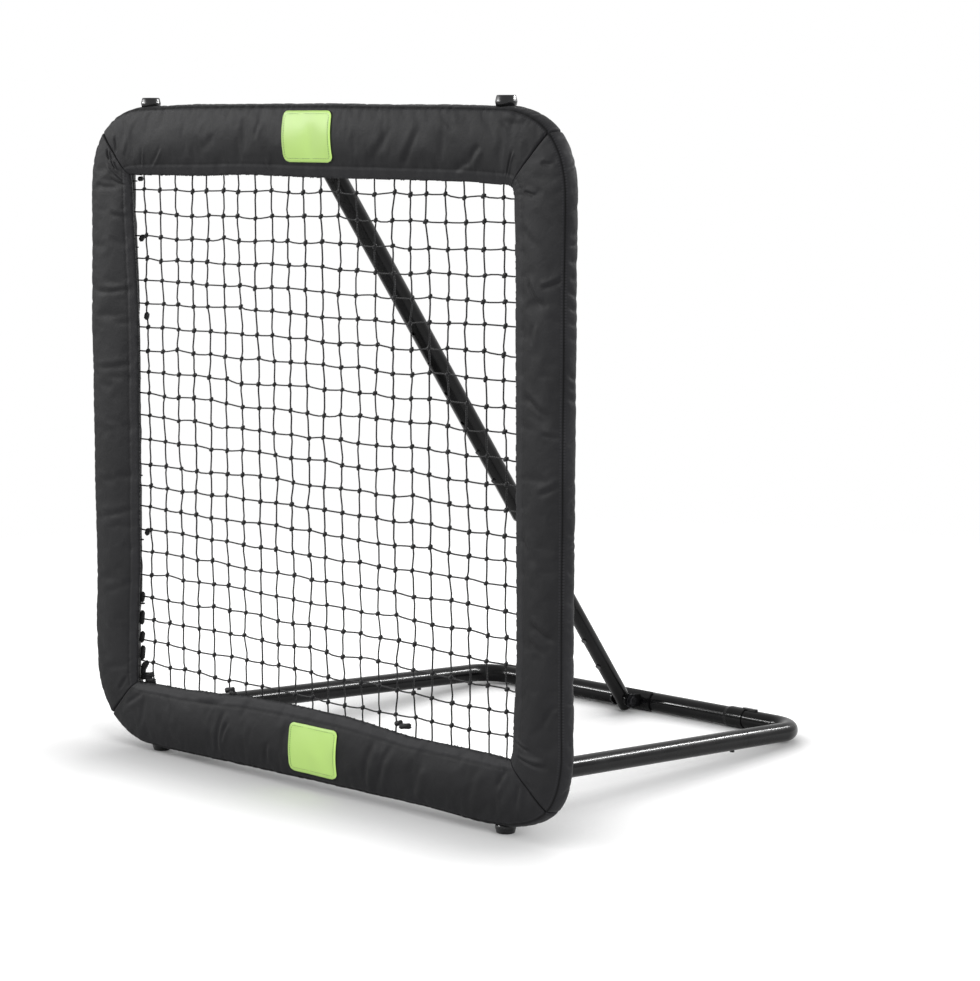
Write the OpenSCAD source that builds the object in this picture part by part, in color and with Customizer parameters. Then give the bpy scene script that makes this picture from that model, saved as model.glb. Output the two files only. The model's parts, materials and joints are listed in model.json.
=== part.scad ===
// Ball rebounder for the lawn: a square steel-tube frame in a padded cover holds a knotted
// net, a tubular base hinges on the frame's bottom tube, and one telescopic strut sets the lean.
// Millimetres. X is the width, the net faces -Y, +Z is up and the feet stand on Z = 0.

/* [Padded frame] */
// Outside width of the padded frame
frame_w = 1240; // [1000:10:1600]
// Outside height of the padded frame
frame_h = 1240; // [1000:10:1600]
// Width of one padded band, from the net opening to the outer edge
pad_band = 124; // [100:1:150]
// Outer corner radius of the padded frame
corner_r = 150; // [120:1:200]
// Depth from the net plane to the front seam of the cover
pad_edge_front = 27; // [24:1:40]
// Depth from the net plane to the rear seam of the cover
pad_edge_back = 22; // [21:1:35]
// How far the front face swells beyond its seams
crown_front = 9; // [4:0.5:20]
// How far the rear face swells beyond its seams
crown_back = 6; // [4:0.5:12]
// Share of the crown that is left where two covers are sewn together
crown_at_seam = 0.55; // [0.2:0.05:1]
// How far the inner edge of a cover bellies into the opening
pad_belly = 5; // [0:0.5:10]
// Side wall of the cover
cover_wall = 6; // [3:0.5:10]
// Front and rear wall of the cover at its seams
face_wall = 2; // [1.5:0.5:5]
// Width of the slit that lets the net through to the tubes
slit_w = 12; // [11:0.5:20]

/* [Frame tubes] */
// Outside diameter of the frame, base and outer strut tubes
tube_d = 38; // [30:0.5:42]
// Wall of every steel tube
tube_wall = 1.5; // [1:0.1:2.5]
// Centreline bend radius of the frame corners
frame_bend_r = 80; // [60:1:100]
// Straight leg of a frame corner tube beyond its bend
corner_leg = 70; // [50:1:120]
// Length of a reduced spigot inside the next tube
spigot_len = 45; // [30:1:55]

/* [Net] */
// Net meshes across and up
net_gaps = 16; // [8:1:17]
// Thickness of a net cord
cord_w = 3; // [2:0.5:4]
// Distance from the opening's edge to the net's border cord, inside the slit
border_inset = 10; // [8:0.5:14]
// Net meshes from one hook to the next
hook_every = 2; // [1:1:4]
// Wire diameter of a net hook
hook_wire = 2.4; // [1.6:0.2:3]

/* [Feet and labels] */
// Height of a foot below the cover
foot_h = 12; // [8:1:25]
// Diameter of a foot where it meets the cover
foot_d = 38; // [34:1:60]
// Diameter of a foot where it meets the ground
foot_tip_d = 32; // [28:1:50]
// Diameter of a foot's stem
foot_stem_d = 24; // [18:1:30]
// Distance from the frame's outer edge to the middle of a foot
foot_inset = 165; // [155:1:190]
// Width of a label patch
label_w = 124; // [80:1:200]
// Height of a label patch
label_h = 90; // [60:1:96]
// Thickness of a label patch
label_t = 1.2; // [0.8:0.1:2]
// Corner radius of a label patch
label_round = 12; // [4:1:30]
// Distance from the frame's middle to the middle of a label, to the right
label_shift = 7; // [-60:1:60]

/* [Base] */
// Gap between each hinge saddle and the start of the frame's bend beside it
hinge_side_gap = 13; // [5:1:60]
// Distance from the net plane to the rear tube
base_reach = 914; // [700:1:1000]
// Height of the base hinges above the frame's bottom tube
hinge_rise = 9; // [0:1:15]
// Length of a side tube's nose in front of its hinge bolt
hinge_nose = 14; // [10:1:18]
// Room between that nose and the bracket
hinge_gap = 9; // [8:0.5:20]
// Centreline bend radius of the base corners
base_bend_r = 65; // [50:1:90]
// Distance from the rear tube forward to the joint in a side tube
side_arm = 200; // [160:1:300]
// Distance from the middle of the rear tube to the mouth of its socket
socket_mouth = 283; // [240:1:300]
// Length of the flared socket
socket_len = 38; // [30:1:60]
// Wall of the flared socket
socket_wall = 1.8; // [1.2:0.1:3]

/* [Strut] */
// Outside diameter of the inner strut tube
strut_in_d = 32; // [24:0.5:33]
// Distance from the top pivot to the mouth of the outer strut tube
strut_mouth = 860; // [800:1:950]
// Distance from the top pivot to the top of the inner strut tube
strut_in_top = 650; // [600:1:660]
// Distance from the top pivot to the upper snap button
button_s = 682; // [670:1:720]
// Distance between two strut holes
hole_pitch = 75; // [50:1:80]
// Strut length taken up by the whole fold
strut_travel = 300; // [200:1:320]
// Distance from the top pivot to the upper hole plug
plug_s = 1207; // [1180:1:1260]
// Length of tube beyond each strut pivot
strut_nose = 14; // [10:1:18]
// Height of the top strut pivot below the top tube
top_pin_drop = 47; // [44:1:60]
// Distance of the top strut pivot behind the top tube
top_pin_back = 27; // [24:1:40]
// Distance of the lower strut pivot in front of the rear tube
low_pin_ahead = 48; // [46:1:60]
// Height of the lower strut pivot above the rear tube
low_pin_rise = 6; // [0:1:10]
// Length of the slot that frees the lower pivot bolt while the strut shortens
slot_len = 8.4; // [8.3:0.1:10]
// Direction of that slot, in degrees above the rearward level
slot_angle = 154; // [150:0.5:158]
// Sideways room of the bolt in that slot
slot_room = 0.4; // [0.35:0.05:0.6]

/* [Brackets and fasteners] */
// Sheet thickness of the brackets
sheet = 3; // [2:0.5:5]
// Width of a bracket's saddle along its tube
saddle_w = 90; // [80:1:100]
// Half height of a bracket's ears
ear_r = 13; // [11:0.5:14]
// Diameter of the pivot bolts
bolt_d = 10; // [6:0.5:12]
// Distance from a bracket's middle to its rivets
rivet_x = 32; // [30:1:38]
// Diameter of a snap button
button_d = 9; // [7:0.5:10]
// How far a snap button stands out of its tube
button_out = 3.5; // [2:0.5:5]

/* [Clearances] */
// Radial room of a fixed tube in its socket
socket_gap = 0.2; // [0.1:0.05:0.4]
// Radial room of a turning or sliding fit
run_gap = 0.06; // [0.02:0.01:0.1]
// Room between soft pieces and what they touch
soft_gap = 0.3; // [0.2:0.05:0.5]
// Room on each side of a tube between bracket ears
ear_gap = 0.5; // [0.3:0.1:1]

/* [Hidden] */
$fn = 48;

TOP = 0;
RIGHT = 1;
BOTTOM = 2;
LEFT = 3;

steel_colour = "#17181a";
foam_colour = "#8d9094";
cover_colour = "#3a3c3f";
label_colour = "#6cc23a";
cord_colour = "#101112";
plastic_colour = "#0e0f10";
zinc_colour = "#9aa0a6";

// Frame
tube_r = tube_d / 2;
bore_r = tube_r - tube_wall;
centre_z = foot_h + frame_h / 2;
tube_inset = pad_band / 2;
foot_x = frame_w / 2 - foot_inset;
top_axis_z = foot_h + frame_h - tube_inset;
bottom_axis_z = foot_h + tube_inset;
spigot_r = bore_r - socket_gap;
spigot_bore_r = spigot_r - tube_wall;
joint_gap = 0.3;
foam_front = pad_edge_front - face_wall;
foam_back = pad_edge_back - face_wall;
foam_bore_r = tube_r + soft_gap;
mitre_gap = 0.25;
side_fraction = 0.33;

function along(side) = (side % 2 == 0 ? frame_w : frame_h) / 2;
function reach(side) = (side % 2 == 0 ? frame_h : frame_w) / 2;
function axis_along(side) = along(side) - tube_inset;
function axis_reach(side) = reach(side) - tube_inset;
function joint_x(side) = axis_along(side) - frame_bend_r - corner_leg;

// Screws, hooks and rivets
screw_r = 2.5;
screw_head_r = 4.5;
screw_head_h = 2.5;
rivet_r = 2.4;
rivet_head_r = 5;
rivet_head_h = 2;
hole_gap = 0.1;
hook_r = hook_wire / 2;
hook_eye_r = 4;
hook_head_r = 2.5;
hook_head_h = 1.5;
border_z = pad_band - border_inset;
foot_screw_r = 3;
foot_screw_head_r = 6;
foot_screw_head_h = 5;

// Brackets
saddle_r = tube_r + socket_gap + sheet;
saddle_from = 8;
pocket_room = 1;
washer_x0 = sheet + 0.1;
bolt_r = bolt_d / 2;
washer_r = bolt_r + 5;
washer_t = 2;
nut_h = 0.8 * bolt_d;
head_h = 0.65 * bolt_d;
hex_r = 0.95 * bolt_d;
wide_gap = tube_d + 2 * ear_gap;
narrow_gap = strut_in_d + 2 * ear_gap;

// Base: its local frame has its origin on the hinge axis and +Y along the side tubes
hinge_y = tube_r + sheet + hinge_gap + hinge_nose;
hinge_z = bottom_axis_z + hinge_rise;
socket_r = tube_r + socket_gap + socket_wall;
rear_z = socket_r;
base_len = norm([base_reach - hinge_y, hinge_z - rear_z]);
base_tilt = atan2(hinge_z - rear_z, base_reach - hinge_y);
side_joint_y = base_len - side_arm;
base_x = frame_w / 2 - tube_inset - frame_bend_r - saddle_w / 2 - hinge_side_gap;
flare_len = 8;
clip_len = 36;
clip_w = 9;
clip_over = 9;
clip_leaf_t = 1;
button_inset = 25;

// Strut: its local frame has its origin on the top pivot and runs down local -Z
top_pin = [top_pin_back, top_axis_z - top_pin_drop];
low_pin = [base_reach - low_pin_ahead, rear_z + low_pin_rise];
strut_len = norm(low_pin - top_pin);
strut_angle = atan2(low_pin[0] - top_pin[0], top_pin[1] - low_pin[1]);
strut_in_r = strut_in_d / 2;
strut_in_bore_r = strut_in_r - tube_wall;
button_r = button_d / 2;
button_flange_t = 1.2;
leaf_len = 35;
leaf_w = 8;
leaf_t = 0.8;
plug_out = 2;
bush_len = 40;
bush_lip = 6;
guide_len = 24;
cap_t = 2.5;
cap_plug = 6;

// The net plane's place, which centres the whole object on the origin
front_y = -(pad_edge_front + crown_front + soft_gap + label_t);
rear_y = base_reach + socket_r;
net_y = -(front_y + rear_y) / 2;

// ---- helpers ----

module place() {
    translate([0, net_y, 0]) children();
}

// A side of the frame lies along local X at local +Z, whichever side it is
module side_pose(side) {
    translate([0, 0, centre_z]) rotate([0, 90 * side, 0]) children();
}

module base_pose() {
    translate([0, hinge_y, hinge_z]) rotate([-base_tilt, 0, 0]) children();
}

module strut_pose() {
    translate([0, top_pin[0], top_pin[1]]) rotate([strut_angle, 0, 0]) children();
}

module x_cyl(r, x0, x1) {
    translate([x0, 0, 0]) rotate([0, 90, 0]) cylinder(r = r, h = x1 - x0);
}

module y_cyl(r, y0, y1) {
    translate([0, y0, 0]) rotate([-90, 0, 0]) cylinder(r = r, h = y1 - y0);
}

module z_cyl(r, z0, z1) {
    translate([0, 0, z0]) cylinder(r = r, h = z1 - z0);
}

module box(low, high) {
    translate(low) cube(high - low);
}

// A quarter bend in the XZ plane, from local +X round to local +Z
module quarter_bend(bend_r, r) {
    rotate([90, 0, 0]) rotate_extrude(angle = 90) translate([bend_r, 0]) circle(r = r);
}

// A quarter bend in the XY plane, from local +X round to local +Y
module flat_bend(bend_r, r) {
    rotate_extrude(angle = 90) translate([bend_r, 0]) circle(r = r);
}

// ---- frame tubes ----

// The net's meshes, which every hook sits in the middle of
function border(side) = along(side) - border_z;
function net_pitch(side) = 2 * border(side) / net_gaps;

// Every hook's place along a side, clear of the saddle, the spigots and the bends
first_mesh = net_gaps % 2 == 0 ? 1.5 : 2;
function hook_fits(side, x) =
    x > saddle_w / 2 + hook_head_r + 1
    && x < axis_along(side) - frame_bend_r
    && (x < joint_x(side) - spigot_len - hook_head_r - 1 || x > joint_x(side) + hook_head_r + 1);
function hook_places(side) = [
    for (k = [first_mesh : hook_every : net_gaps / 2])
        let (x = k * net_pitch(side))
        if (hook_fits(side, x)) each [-x, x]
];

module hook_holes(side) {
    for (x = hook_places(side)) {
        translate([x, 0, axis_reach(side)]) z_cyl(hook_r + hole_gap, -tube_r - 5, 0);
    }
}

module screw_place(side) {
    for (s = [-1, 1]) {
        translate([s * (joint_x(side) - spigot_len / 2), 0, axis_reach(side)]) children();
    }
}

module screw_holes(side) {
    screw_place(side) y_cyl(screw_r + hole_gap, -tube_r - 5, 0);
}

// The tube, its hooks and its screws without the cuts that single sides need
module straight_tube(side) {
    side_pose(side) difference() {
        translate([0, 0, axis_reach(side)]) x_cyl(tube_r, -joint_x(side), joint_x(side));
        translate([0, 0, axis_reach(side)]) x_cyl(bore_r, -joint_x(side) - 1, joint_x(side) + 1);
        hook_holes(side);
        screw_holes(side);
    }
}

module frame_tube(side) {
    color(steel_colour) difference() {
        straight_tube(side);
        bracket_rivet_holes();
    }
}

// The outside of a corner, or with r the path of its bore
module corner_path(side, r, from_joint) {
    next = (side + 1) % 4;
    bend_x = axis_along(side) - frame_bend_r;
    bend_z = axis_reach(side) - frame_bend_r;
    translate([0, 0, axis_reach(side)]) x_cyl(r, joint_x(side) + from_joint, bend_x);
    translate([bend_x, 0, bend_z]) quarter_bend(frame_bend_r, r);
    translate([axis_along(side), 0, 0]) z_cyl(r, joint_x(next) + from_joint, bend_z);
}

module corner_spigots(side, r, reach_in, reach_out) {
    next = (side + 1) % 4;
    translate([0, 0, axis_reach(side)])
        x_cyl(r, joint_x(side) - reach_in, joint_x(side) + reach_out);
    translate([axis_along(side), 0, 0])
        z_cyl(r, joint_x(next) - reach_in, joint_x(next) + reach_out);
}

module corner_tube(side) {
    next = (side + 1) % 4;
    overlap = 4;
    color(steel_colour) difference() {
        side_pose(side) union() {
            corner_path(side, tube_r, joint_gap);
            corner_spigots(side, spigot_r, spigot_len, overlap);
        }
        side_pose(side) corner_path(side, bore_r, overlap);
        side_pose(side) corner_spigots(side, spigot_bore_r, spigot_len + 1, overlap + 1);
        for (k = [side, next]) {
            side_pose(k) hook_holes(k);
            side_pose(k) screw_holes(k);
        }
        foot_places() translate([0, 0, -tube_inset]) z_cyl(foot_screw_r + hole_gap, 0, tube_r + 5);
        bracket_rivet_holes();
    }
}

module frame_screws() {
    color(zinc_colour) for (side = [TOP : LEFT]) side_pose(side) screw_place(side) {
        y_cyl(screw_head_r, -tube_r - 0.05 - screw_head_h, -tube_r - 0.05);
        y_cyl(screw_r, -tube_r - 0.1, -spigot_bore_r + 3);
    }
}

// ---- foam and cover ----

// A slab with round corners, seen from the front, inset evenly from the frame's outline
module rounded_slab(inset, y0, y1) {
    r = corner_r - inset;
    hw = frame_w / 2 - inset;
    hh = frame_h / 2 - inset;
    box([-hw + r, y0, -hh], [hw - r, y1, hh]);
    box([-hw, y0, -hh + r], [hw, y1, hh - r]);
    for (x = [-1, 1], z = [-1, 1]) {
        translate([x * (hw - r), 0, z * (hh - r)]) y_cyl(r, y0, y1);
    }
}

// One side's share of the frame between two mitres, in side_pose
module mitred_slab(side, low_z, back_off, y0, y1) {
    inner = along(side) - pad_band;
    low = low_z + reach(side) - pad_band;
    high = reach(side) + 5;
    x_low = inner + low_z - back_off;
    x_high = inner + pad_band + 5 - back_off;
    translate([0, y1, 0]) rotate([90, 0, 0]) linear_extrude(y1 - y0)
        polygon([[-x_low, low], [x_low, low], [x_high, high], [-x_high, high]]);
}

module foam_form(side, grow, back_off) {
    y0 = -foam_front - grow;
    y1 = foam_back + grow;
    intersection() {
        translate([0, 0, centre_z]) rounded_slab(cover_wall - grow, y0, y1);
        side_pose(side) mitred_slab(side, cover_wall - grow, back_off, y0, y1);
    }
}

module slit(side) {
    inner = along(side) - pad_band;
    low = reach(side) - pad_band - pad_belly - 3;
    box([-inner - pad_band, -slit_w / 2, low], [inner + pad_band, slit_w / 2, axis_reach(side)]);
}

module foam(side) {
    prev = (side + 3) % 4;
    color(foam_colour) difference() {
        foam_form(side, 0, mitre_gap);
        side_pose(side) {
            translate([0, 0, axis_reach(side)])
                x_cyl(foam_bore_r, -axis_along(side) + frame_bend_r, axis_along(side) - frame_bend_r);
            corner_path(side, foam_bore_r, 0);
            slit(side);
            screw_place(side) y_cyl(screw_head_r + 1, -tube_r - screw_head_h - 1, 0);
        }
        side_pose(prev) corner_path(prev, foam_bore_r, 0);
        foot_places() z_cyl(foot_stem_d / 2 + soft_gap, -tube_inset, 5);
        saddle_pockets();
        ear_notches();
        strut_pocket();
    }
}

// Half the cross-section's swell: 0 at a seam and 1 in the middle of a face
crown = [[0.015, 0], [0.07, 0.5], [0.25, 0.9], [0.5, 1], [0.75, 0.9], [0.93, 0.5], [0.985, 0]];

// The cover's outline at one station: [share of the width, depth], once round
function section(swell) = [
    for (p = crown) [p[0], -pad_edge_front - crown_front * swell * p[1]],
    [1, -pad_edge_front * side_fraction],
    [1, pad_edge_back * side_fraction],
    for (k = [len(crown) - 1 : -1 : 0]) [crown[k][0], pad_edge_back + crown_back * swell * crown[k][1]],
    [0, pad_edge_back * side_fraction],
    [0, -pad_edge_front * side_fraction]
];

// Stations along a side: [inner x, inner z, outer x, outer z, swell]
mid_steps = 4;
fan_angles = [0, 9, 18, 27, 36, 45];
fan_inner = 56;
fan_outer = 60;
function belly(side, x) = pad_belly * (1 - pow(x / (along(side) - pad_band), 2));
function mid_station(side, k) =
    let (x = k / mid_steps * (along(side) - corner_r - fan_outer))
    [x, reach(side) - pad_band - belly(side, x), x, reach(side), 1];
function fan_station(side, angle, s) =
    let (
        share = angle / 45,
        inner_x = along(side) - pad_band - fan_inner * (1 - share) - mitre_gap,
        outer_x = along(side) - corner_r + corner_r * sin(angle) - mitre_gap,
        outer_z = reach(side) - corner_r + corner_r * cos(angle)
    )
    [s * inner_x, reach(side) - pad_band - belly(side, inner_x + mitre_gap),
     s * outer_x, outer_z, 1 - share * (1 - crown_at_seam)];
function stations(side) = [
    for (k = [len(fan_angles) - 1 : -1 : 0]) fan_station(side, fan_angles[k], -1),
    for (k = [-mid_steps : mid_steps]) mid_station(side, k),
    for (angle = fan_angles) fan_station(side, angle, 1)
];
function station_ring(st) = [
    for (p = section(st[4]))
        [st[0] + (st[2] - st[0]) * p[0], p[1], st[1] + (st[3] - st[1]) * p[0]]
];

// A closed skin over rings of points
module skin(rings) {
    n = len(rings[0]);
    m = len(rings);
    points = [for (ring = rings) each ring];
    walls = [
        for (i = [0 : m - 2], j = [0 : n - 1])
            let (a = i * n + j, b = i * n + (j + 1) % n)
            each [[a, b, b + n], [a, b + n, a + n]]
    ];
    first_cap = [[for (j = [n - 1 : -1 : 0]) j]];
    last_cap = [[for (j = [0 : n - 1]) (m - 1) * n + j]];
    polyhedron(points = points, faces = concat(walls, first_cap, last_cap), convexity = 4);
}

module cover(side) {
    color(cover_colour) difference() {
        side_pose(side) skin([for (st = stations(side)) station_ring(st)]);
        foam_form(side, soft_gap, -8);
        side_pose(side) slit(side);
        foot_places() z_cyl(foot_stem_d / 2 + soft_gap, -tube_inset, 5, $fn = 24);
        saddle_pockets();
        ear_notches();
        strut_pocket();
    }
}

// Room in the foam and in the covers for the saddles and rivets on the frame's tubes
module saddle_pocket() {
    half_w = saddle_w / 2 + pocket_room;
    x_cyl(saddle_r + pocket_room, -half_w, half_w);
    for (x = [-rivet_x, rivet_x]) translate([x, 0, 0])
        y_cyl(rivet_head_r + pocket_room, 0, saddle_r + rivet_head_h + pocket_room);
}

module saddle_pockets() {
    for (s = [-1, 1]) hinge_place(s) saddle_pocket();
    top_place() saddle_pocket();
}

// Openings in the rear of the bottom cover for the hinge ears and the noses of the base
module ear_notches() {
    half_w = wide_gap / 2 + sheet + 2;
    nose_r = norm([hinge_nose + cap_t, tube_r]) + 2;
    for (s = [-1, 1]) hinge_place(s) {
        box([-half_w, saddle_from, -ear_r - 2], [half_w, hinge_arm, ear_r + 2]);
        translate([0, hinge_arm, 0]) x_cyl(nose_r, -half_w, half_w);
    }
}

// Room for the top of the strut, its bracket's ears and its bolt, open to the rear and below
module strut_pocket() {
    half_w = wide_gap / 2 + sheet + 2;
    bolt_w = wide_gap / 2 + washer_x0 + washer_t + nut_h + 5;
    low = top_axis_z - tube_inset - pad_belly - 3;
    rear = pad_edge_back + crown_back + 32;
    box([-half_w, -slit_w / 2, low], [half_w, rear, top_axis_z - tube_r - 2]);
    top_place() box([-half_w - 0.5, saddle_from, -ear_r - 2], [half_w + 0.5, top_arm, ear_r + 2]);
    box([-bolt_w, top_pin_back - washer_r - 3, low],
        [bolt_w, rear, top_axis_z - top_pin_drop + washer_r + 3]);
}

// ---- labels ----

function front_at(u) = -pad_edge_front - crown_front * lookup(u, crown);

module label(side) {
    low_u = (pad_band - label_h) / 2 / pad_band;
    shares = [low_u, 0.25, 0.5, 0.75, 1 - low_u];
    back = [
        for (u = shares)
            [front_at(u) - soft_gap, reach(side) - (pad_band + belly(side, 0)) * (1 - u)]
    ];
    front = [for (k = [4 : -1 : 0]) [back[k][0] - label_t, back[k][1]]];
    round_r = label_round;
    deep = pad_edge_front + crown_front + label_t + 1;
    shift = side == TOP ? label_shift : -label_shift;
    color(label_colour) side_pose(side) translate([shift, 0, 0]) intersection() {
        rotate([90, 0, 90]) translate([0, 0, -label_w / 2])
            linear_extrude(label_w) polygon(concat(back, front));
        translate([0, 0, axis_reach(side)]) union() {
            box([-label_w / 2 + round_r, -deep, -label_h / 2], [label_w / 2 - round_r, 0, label_h / 2]);
            box([-label_w / 2, -deep, -label_h / 2 + round_r], [label_w / 2, 0, label_h / 2 - round_r]);
            for (x = [-1, 1], z = [-1, 1])
                translate([x * (label_w / 2 - round_r), 0, z * (label_h / 2 - round_r)])
                    y_cyl(round_r, -deep, 0);
        }
    }
}

// ---- net ----

module net() {
    half_w = border(TOP);
    half_h = border(RIGHT);
    pitch_x = net_pitch(TOP);
    pitch_z = net_pitch(RIGHT);
    color(cord_colour) translate([0, cord_w / 2, centre_z]) rotate([90, 0, 0])
        linear_extrude(cord_w) difference() {
            square([2 * half_w + cord_w, 2 * half_h + cord_w], center = true);
            for (i = [0 : net_gaps - 1], j = [0 : net_gaps - 1])
                translate([-half_w + i * pitch_x + cord_w / 2, -half_h + j * pitch_z + cord_w / 2])
                    square([pitch_x - cord_w, pitch_z - cord_w]);
        }
}

// One hook: an eye round the border cord, a stem through the tube wall and a head inside
module net_hook(side) {
    eye_z = reach(side) - border_z;
    stem_z = eye_z + hook_eye_r;
    wall_z = axis_reach(side) - bore_r;
    translate([0, 0, eye_z]) rotate([0, 90, 0])
        rotate_extrude() translate([hook_eye_r, 0]) circle(r = hook_r);
    z_cyl(hook_r, stem_z, wall_z + 1);
    z_cyl(hook_head_r, wall_z + 0.6, wall_z + 0.6 + hook_head_h);
}

module net_hooks() {
    color(zinc_colour) for (side = [TOP : LEFT]) side_pose(side)
        for (x = hook_places(side)) translate([x, 0, 0]) net_hook(side);
}

// ---- feet ----

// Local +Z points out of the frame and Z = 0 is the frame's outer edge
module foot_place(side, s) {
    side_pose(side) translate([s * foot_x, 0, reach(side)]) children();
}

module foot_places() {
    for (side = [TOP, BOTTOM], s = [-1, 1]) foot_place(side, s) children();
}

module foot(side, s) {
    color(plastic_colour) foot_place(side, s) difference() {
        union() {
            z_cyl(foot_stem_d / 2, -tube_inset + tube_r + 0.2, soft_gap + 1);
            translate([0, 0, soft_gap])
                cylinder(d1 = foot_d, d2 = foot_tip_d, h = foot_h - soft_gap);
        }
        z_cyl(foot_screw_r + hole_gap, -tube_inset, foot_h + 1);
        z_cyl(foot_screw_head_r + 1, foot_h - foot_screw_head_h - 1, foot_h + 1);
    }
}

module foot_screws() {
    color(zinc_colour) foot_places() {
        z_cyl(foot_screw_head_r, foot_h - foot_screw_head_h - 0.9, foot_h - 1);
        z_cyl(foot_screw_r, -tube_inset + bore_r - 6, foot_h - 3);
    }
}

// ---- brackets and their fasteners ----

hinge_turn = atan2(hinge_rise, hinge_y);
hinge_arm = norm([hinge_rise, hinge_y]);
top_turn = atan2(-top_pin_drop, top_pin_back);
top_arm = norm([top_pin_drop, top_pin_back]);
low_turn = atan2(low_pin_rise, -low_pin_ahead);
low_arm = norm([low_pin_rise, low_pin_ahead]);

module hinge_place(s) {
    translate([s * base_x, 0, bottom_axis_z]) rotate([hinge_turn, 0, 0]) children();
}

module top_place() {
    translate([0, 0, top_axis_z]) rotate([top_turn, 0, 0]) children();
}

module low_place() {
    translate([0, base_reach, rear_z]) rotate([low_turn, 0, 0]) children();
}

module rivet_holes() {
    for (x = [-rivet_x, rivet_x]) translate([x, 0, 0]) y_cyl(rivet_r + hole_gap, 1, saddle_r + 5);
}

module bracket_rivet_holes() {
    for (s = [-1, 1]) hinge_place(s) rivet_holes();
    top_place() rivet_holes();
}

// A saddle on the tube, which runs along X at the origin, and two ears towards +Y
module bracket(gap, arm) {
    difference() {
        union() {
            intersection() {
                x_cyl(saddle_r, -saddle_w / 2, saddle_w / 2);
                box([-saddle_w, saddle_from, -saddle_r - 1], [saddle_w, saddle_r + 1, saddle_r + 1]);
            }
            for (s = [-1, 1]) translate([s * (gap + sheet) / 2, 0, 0]) {
                box([-sheet / 2, saddle_from, -ear_r], [sheet / 2, arm, ear_r]);
                translate([0, arm, 0]) x_cyl(ear_r, -sheet / 2, sheet / 2);
            }
        }
        x_cyl(tube_r + socket_gap, -saddle_w, saddle_w);
        rivet_holes();
        translate([0, arm, 0]) children();
    }
}

module bolt_hole(gap) {
    x_cyl(bolt_r + run_gap, -gap / 2 - sheet - 1, gap / 2 + sheet + 1);
}

module hinge_bracket(s) {
    color(steel_colour) hinge_place(s) bracket(wide_gap, hinge_arm) bolt_hole(wide_gap);
}

module strut_top_bracket() {
    color(steel_colour) top_place() bracket(wide_gap, top_arm) bolt_hole(wide_gap);
}

// Everything of one radius within a slot's length of the lower pivot
module low_slot(r, half_x) {
    rotate([slot_angle - low_turn, 0, 0]) {
        x_cyl(r, -half_x, half_x);
        translate([0, slot_len, 0]) x_cyl(r, -half_x, half_x);
        box([-half_x, 0, -r], [half_x, slot_len, r]);
    }
}

// The slot in its ears gives the bolt room, because this pivot closes the linkage
module strut_low_bracket() {
    x0 = narrow_gap / 2;
    color(steel_colour) low_place() difference() {
        union() {
            bracket(narrow_gap, low_arm);
            translate([0, low_arm, 0]) low_slot(ear_r - 0.5, x0 + sheet);
        }
        x_cyl(tube_r + socket_gap, -saddle_w, saddle_w);
        translate([0, low_arm, 0]) low_slot(ear_r + 1, x0);
        translate([0, low_arm, 0]) low_slot(bolt_r + slot_room, x0 + sheet + 1);
    }
}

module rivets() {
    for (x = [-rivet_x, rivet_x]) translate([x, 0, 0]) {
        y_cyl(rivet_head_r, saddle_r + 0.05, saddle_r + rivet_head_h);
        y_cyl(rivet_r, bore_r - 4, saddle_r + 0.1);
    }
}

module frame_rivets() {
    color(zinc_colour) {
        for (s = [-1, 1]) hinge_place(s) rivets();
        top_place() rivets();
    }
}

module base_rivets() {
    color(zinc_colour) low_place() rivets();
}

// Fasteners on a pivot whose ears leave a gap between them
module bolt_on(gap) {
    head_x = gap / 2 + washer_x0 + washer_t + 0.1;
    x_cyl(bolt_r, -head_x - nut_h - 2, head_x + 0.1);
    x_cyl(hex_r, head_x, head_x + head_h, $fn = 6);
}

module nut_on(gap) {
    nut_x = gap / 2 + washer_x0 + washer_t + 0.1;
    difference() {
        x_cyl(hex_r, -nut_x - nut_h, -nut_x, $fn = 6);
        x_cyl(bolt_r + run_gap, -nut_x - nut_h - 1, -nut_x + 1);
    }
}

module washers_on(gap, r) {
    for (s = [-1, 1]) translate([s * (gap / 2 + washer_x0 + washer_t / 2), 0, 0]) difference() {
        x_cyl(r, -washer_t / 2, washer_t / 2);
        x_cyl(bolt_r + run_gap, -washer_t, washer_t);
    }
}

// The three pivots on the frame; the left hinge is mirrored, so each head faces outwards
module frame_pivots() {
    translate([base_x, hinge_y, hinge_z]) children();
    mirror([1, 0, 0]) translate([base_x, hinge_y, hinge_z]) children();
    translate([0, top_pin[0], top_pin[1]]) children();
}

module pivot_bolts() {
    color(zinc_colour) frame_pivots() bolt_on(wide_gap);
}

module pivot_nuts() {
    color(zinc_colour) frame_pivots() nut_on(wide_gap);
}

module pivot_washers() {
    color(zinc_colour) frame_pivots() washers_on(wide_gap, washer_r);
}

module strut_low_bolt() {
    color(zinc_colour) translate([0, low_pin[0], low_pin[1]]) bolt_on(narrow_gap);
}

module strut_low_nut() {
    color(zinc_colour) translate([0, low_pin[0], low_pin[1]]) nut_on(narrow_gap);
}

module strut_low_washers() {
    color(zinc_colour) translate([0, low_pin[0], low_pin[1]])
        washers_on(narrow_gap, bolt_r + slot_len + 0.6);
}

// ---- base ----

module side_button_place(s) {
    base_pose() translate([s * base_x, side_joint_y - button_inset, 0]) children();
}

module base_side_tube(s) {
    color(steel_colour) difference() {
        base_pose() translate([s * base_x, 0, 0]) difference() {
            y_cyl(tube_r, -hinge_nose, side_joint_y);
            y_cyl(bore_r, -hinge_nose - 1, side_joint_y + 1);
            bolt_hole(wide_gap);
        }
        side_button_place(s) z_cyl(button_r + hole_gap, -tube_r - 5, 0);
    }
}

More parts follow.
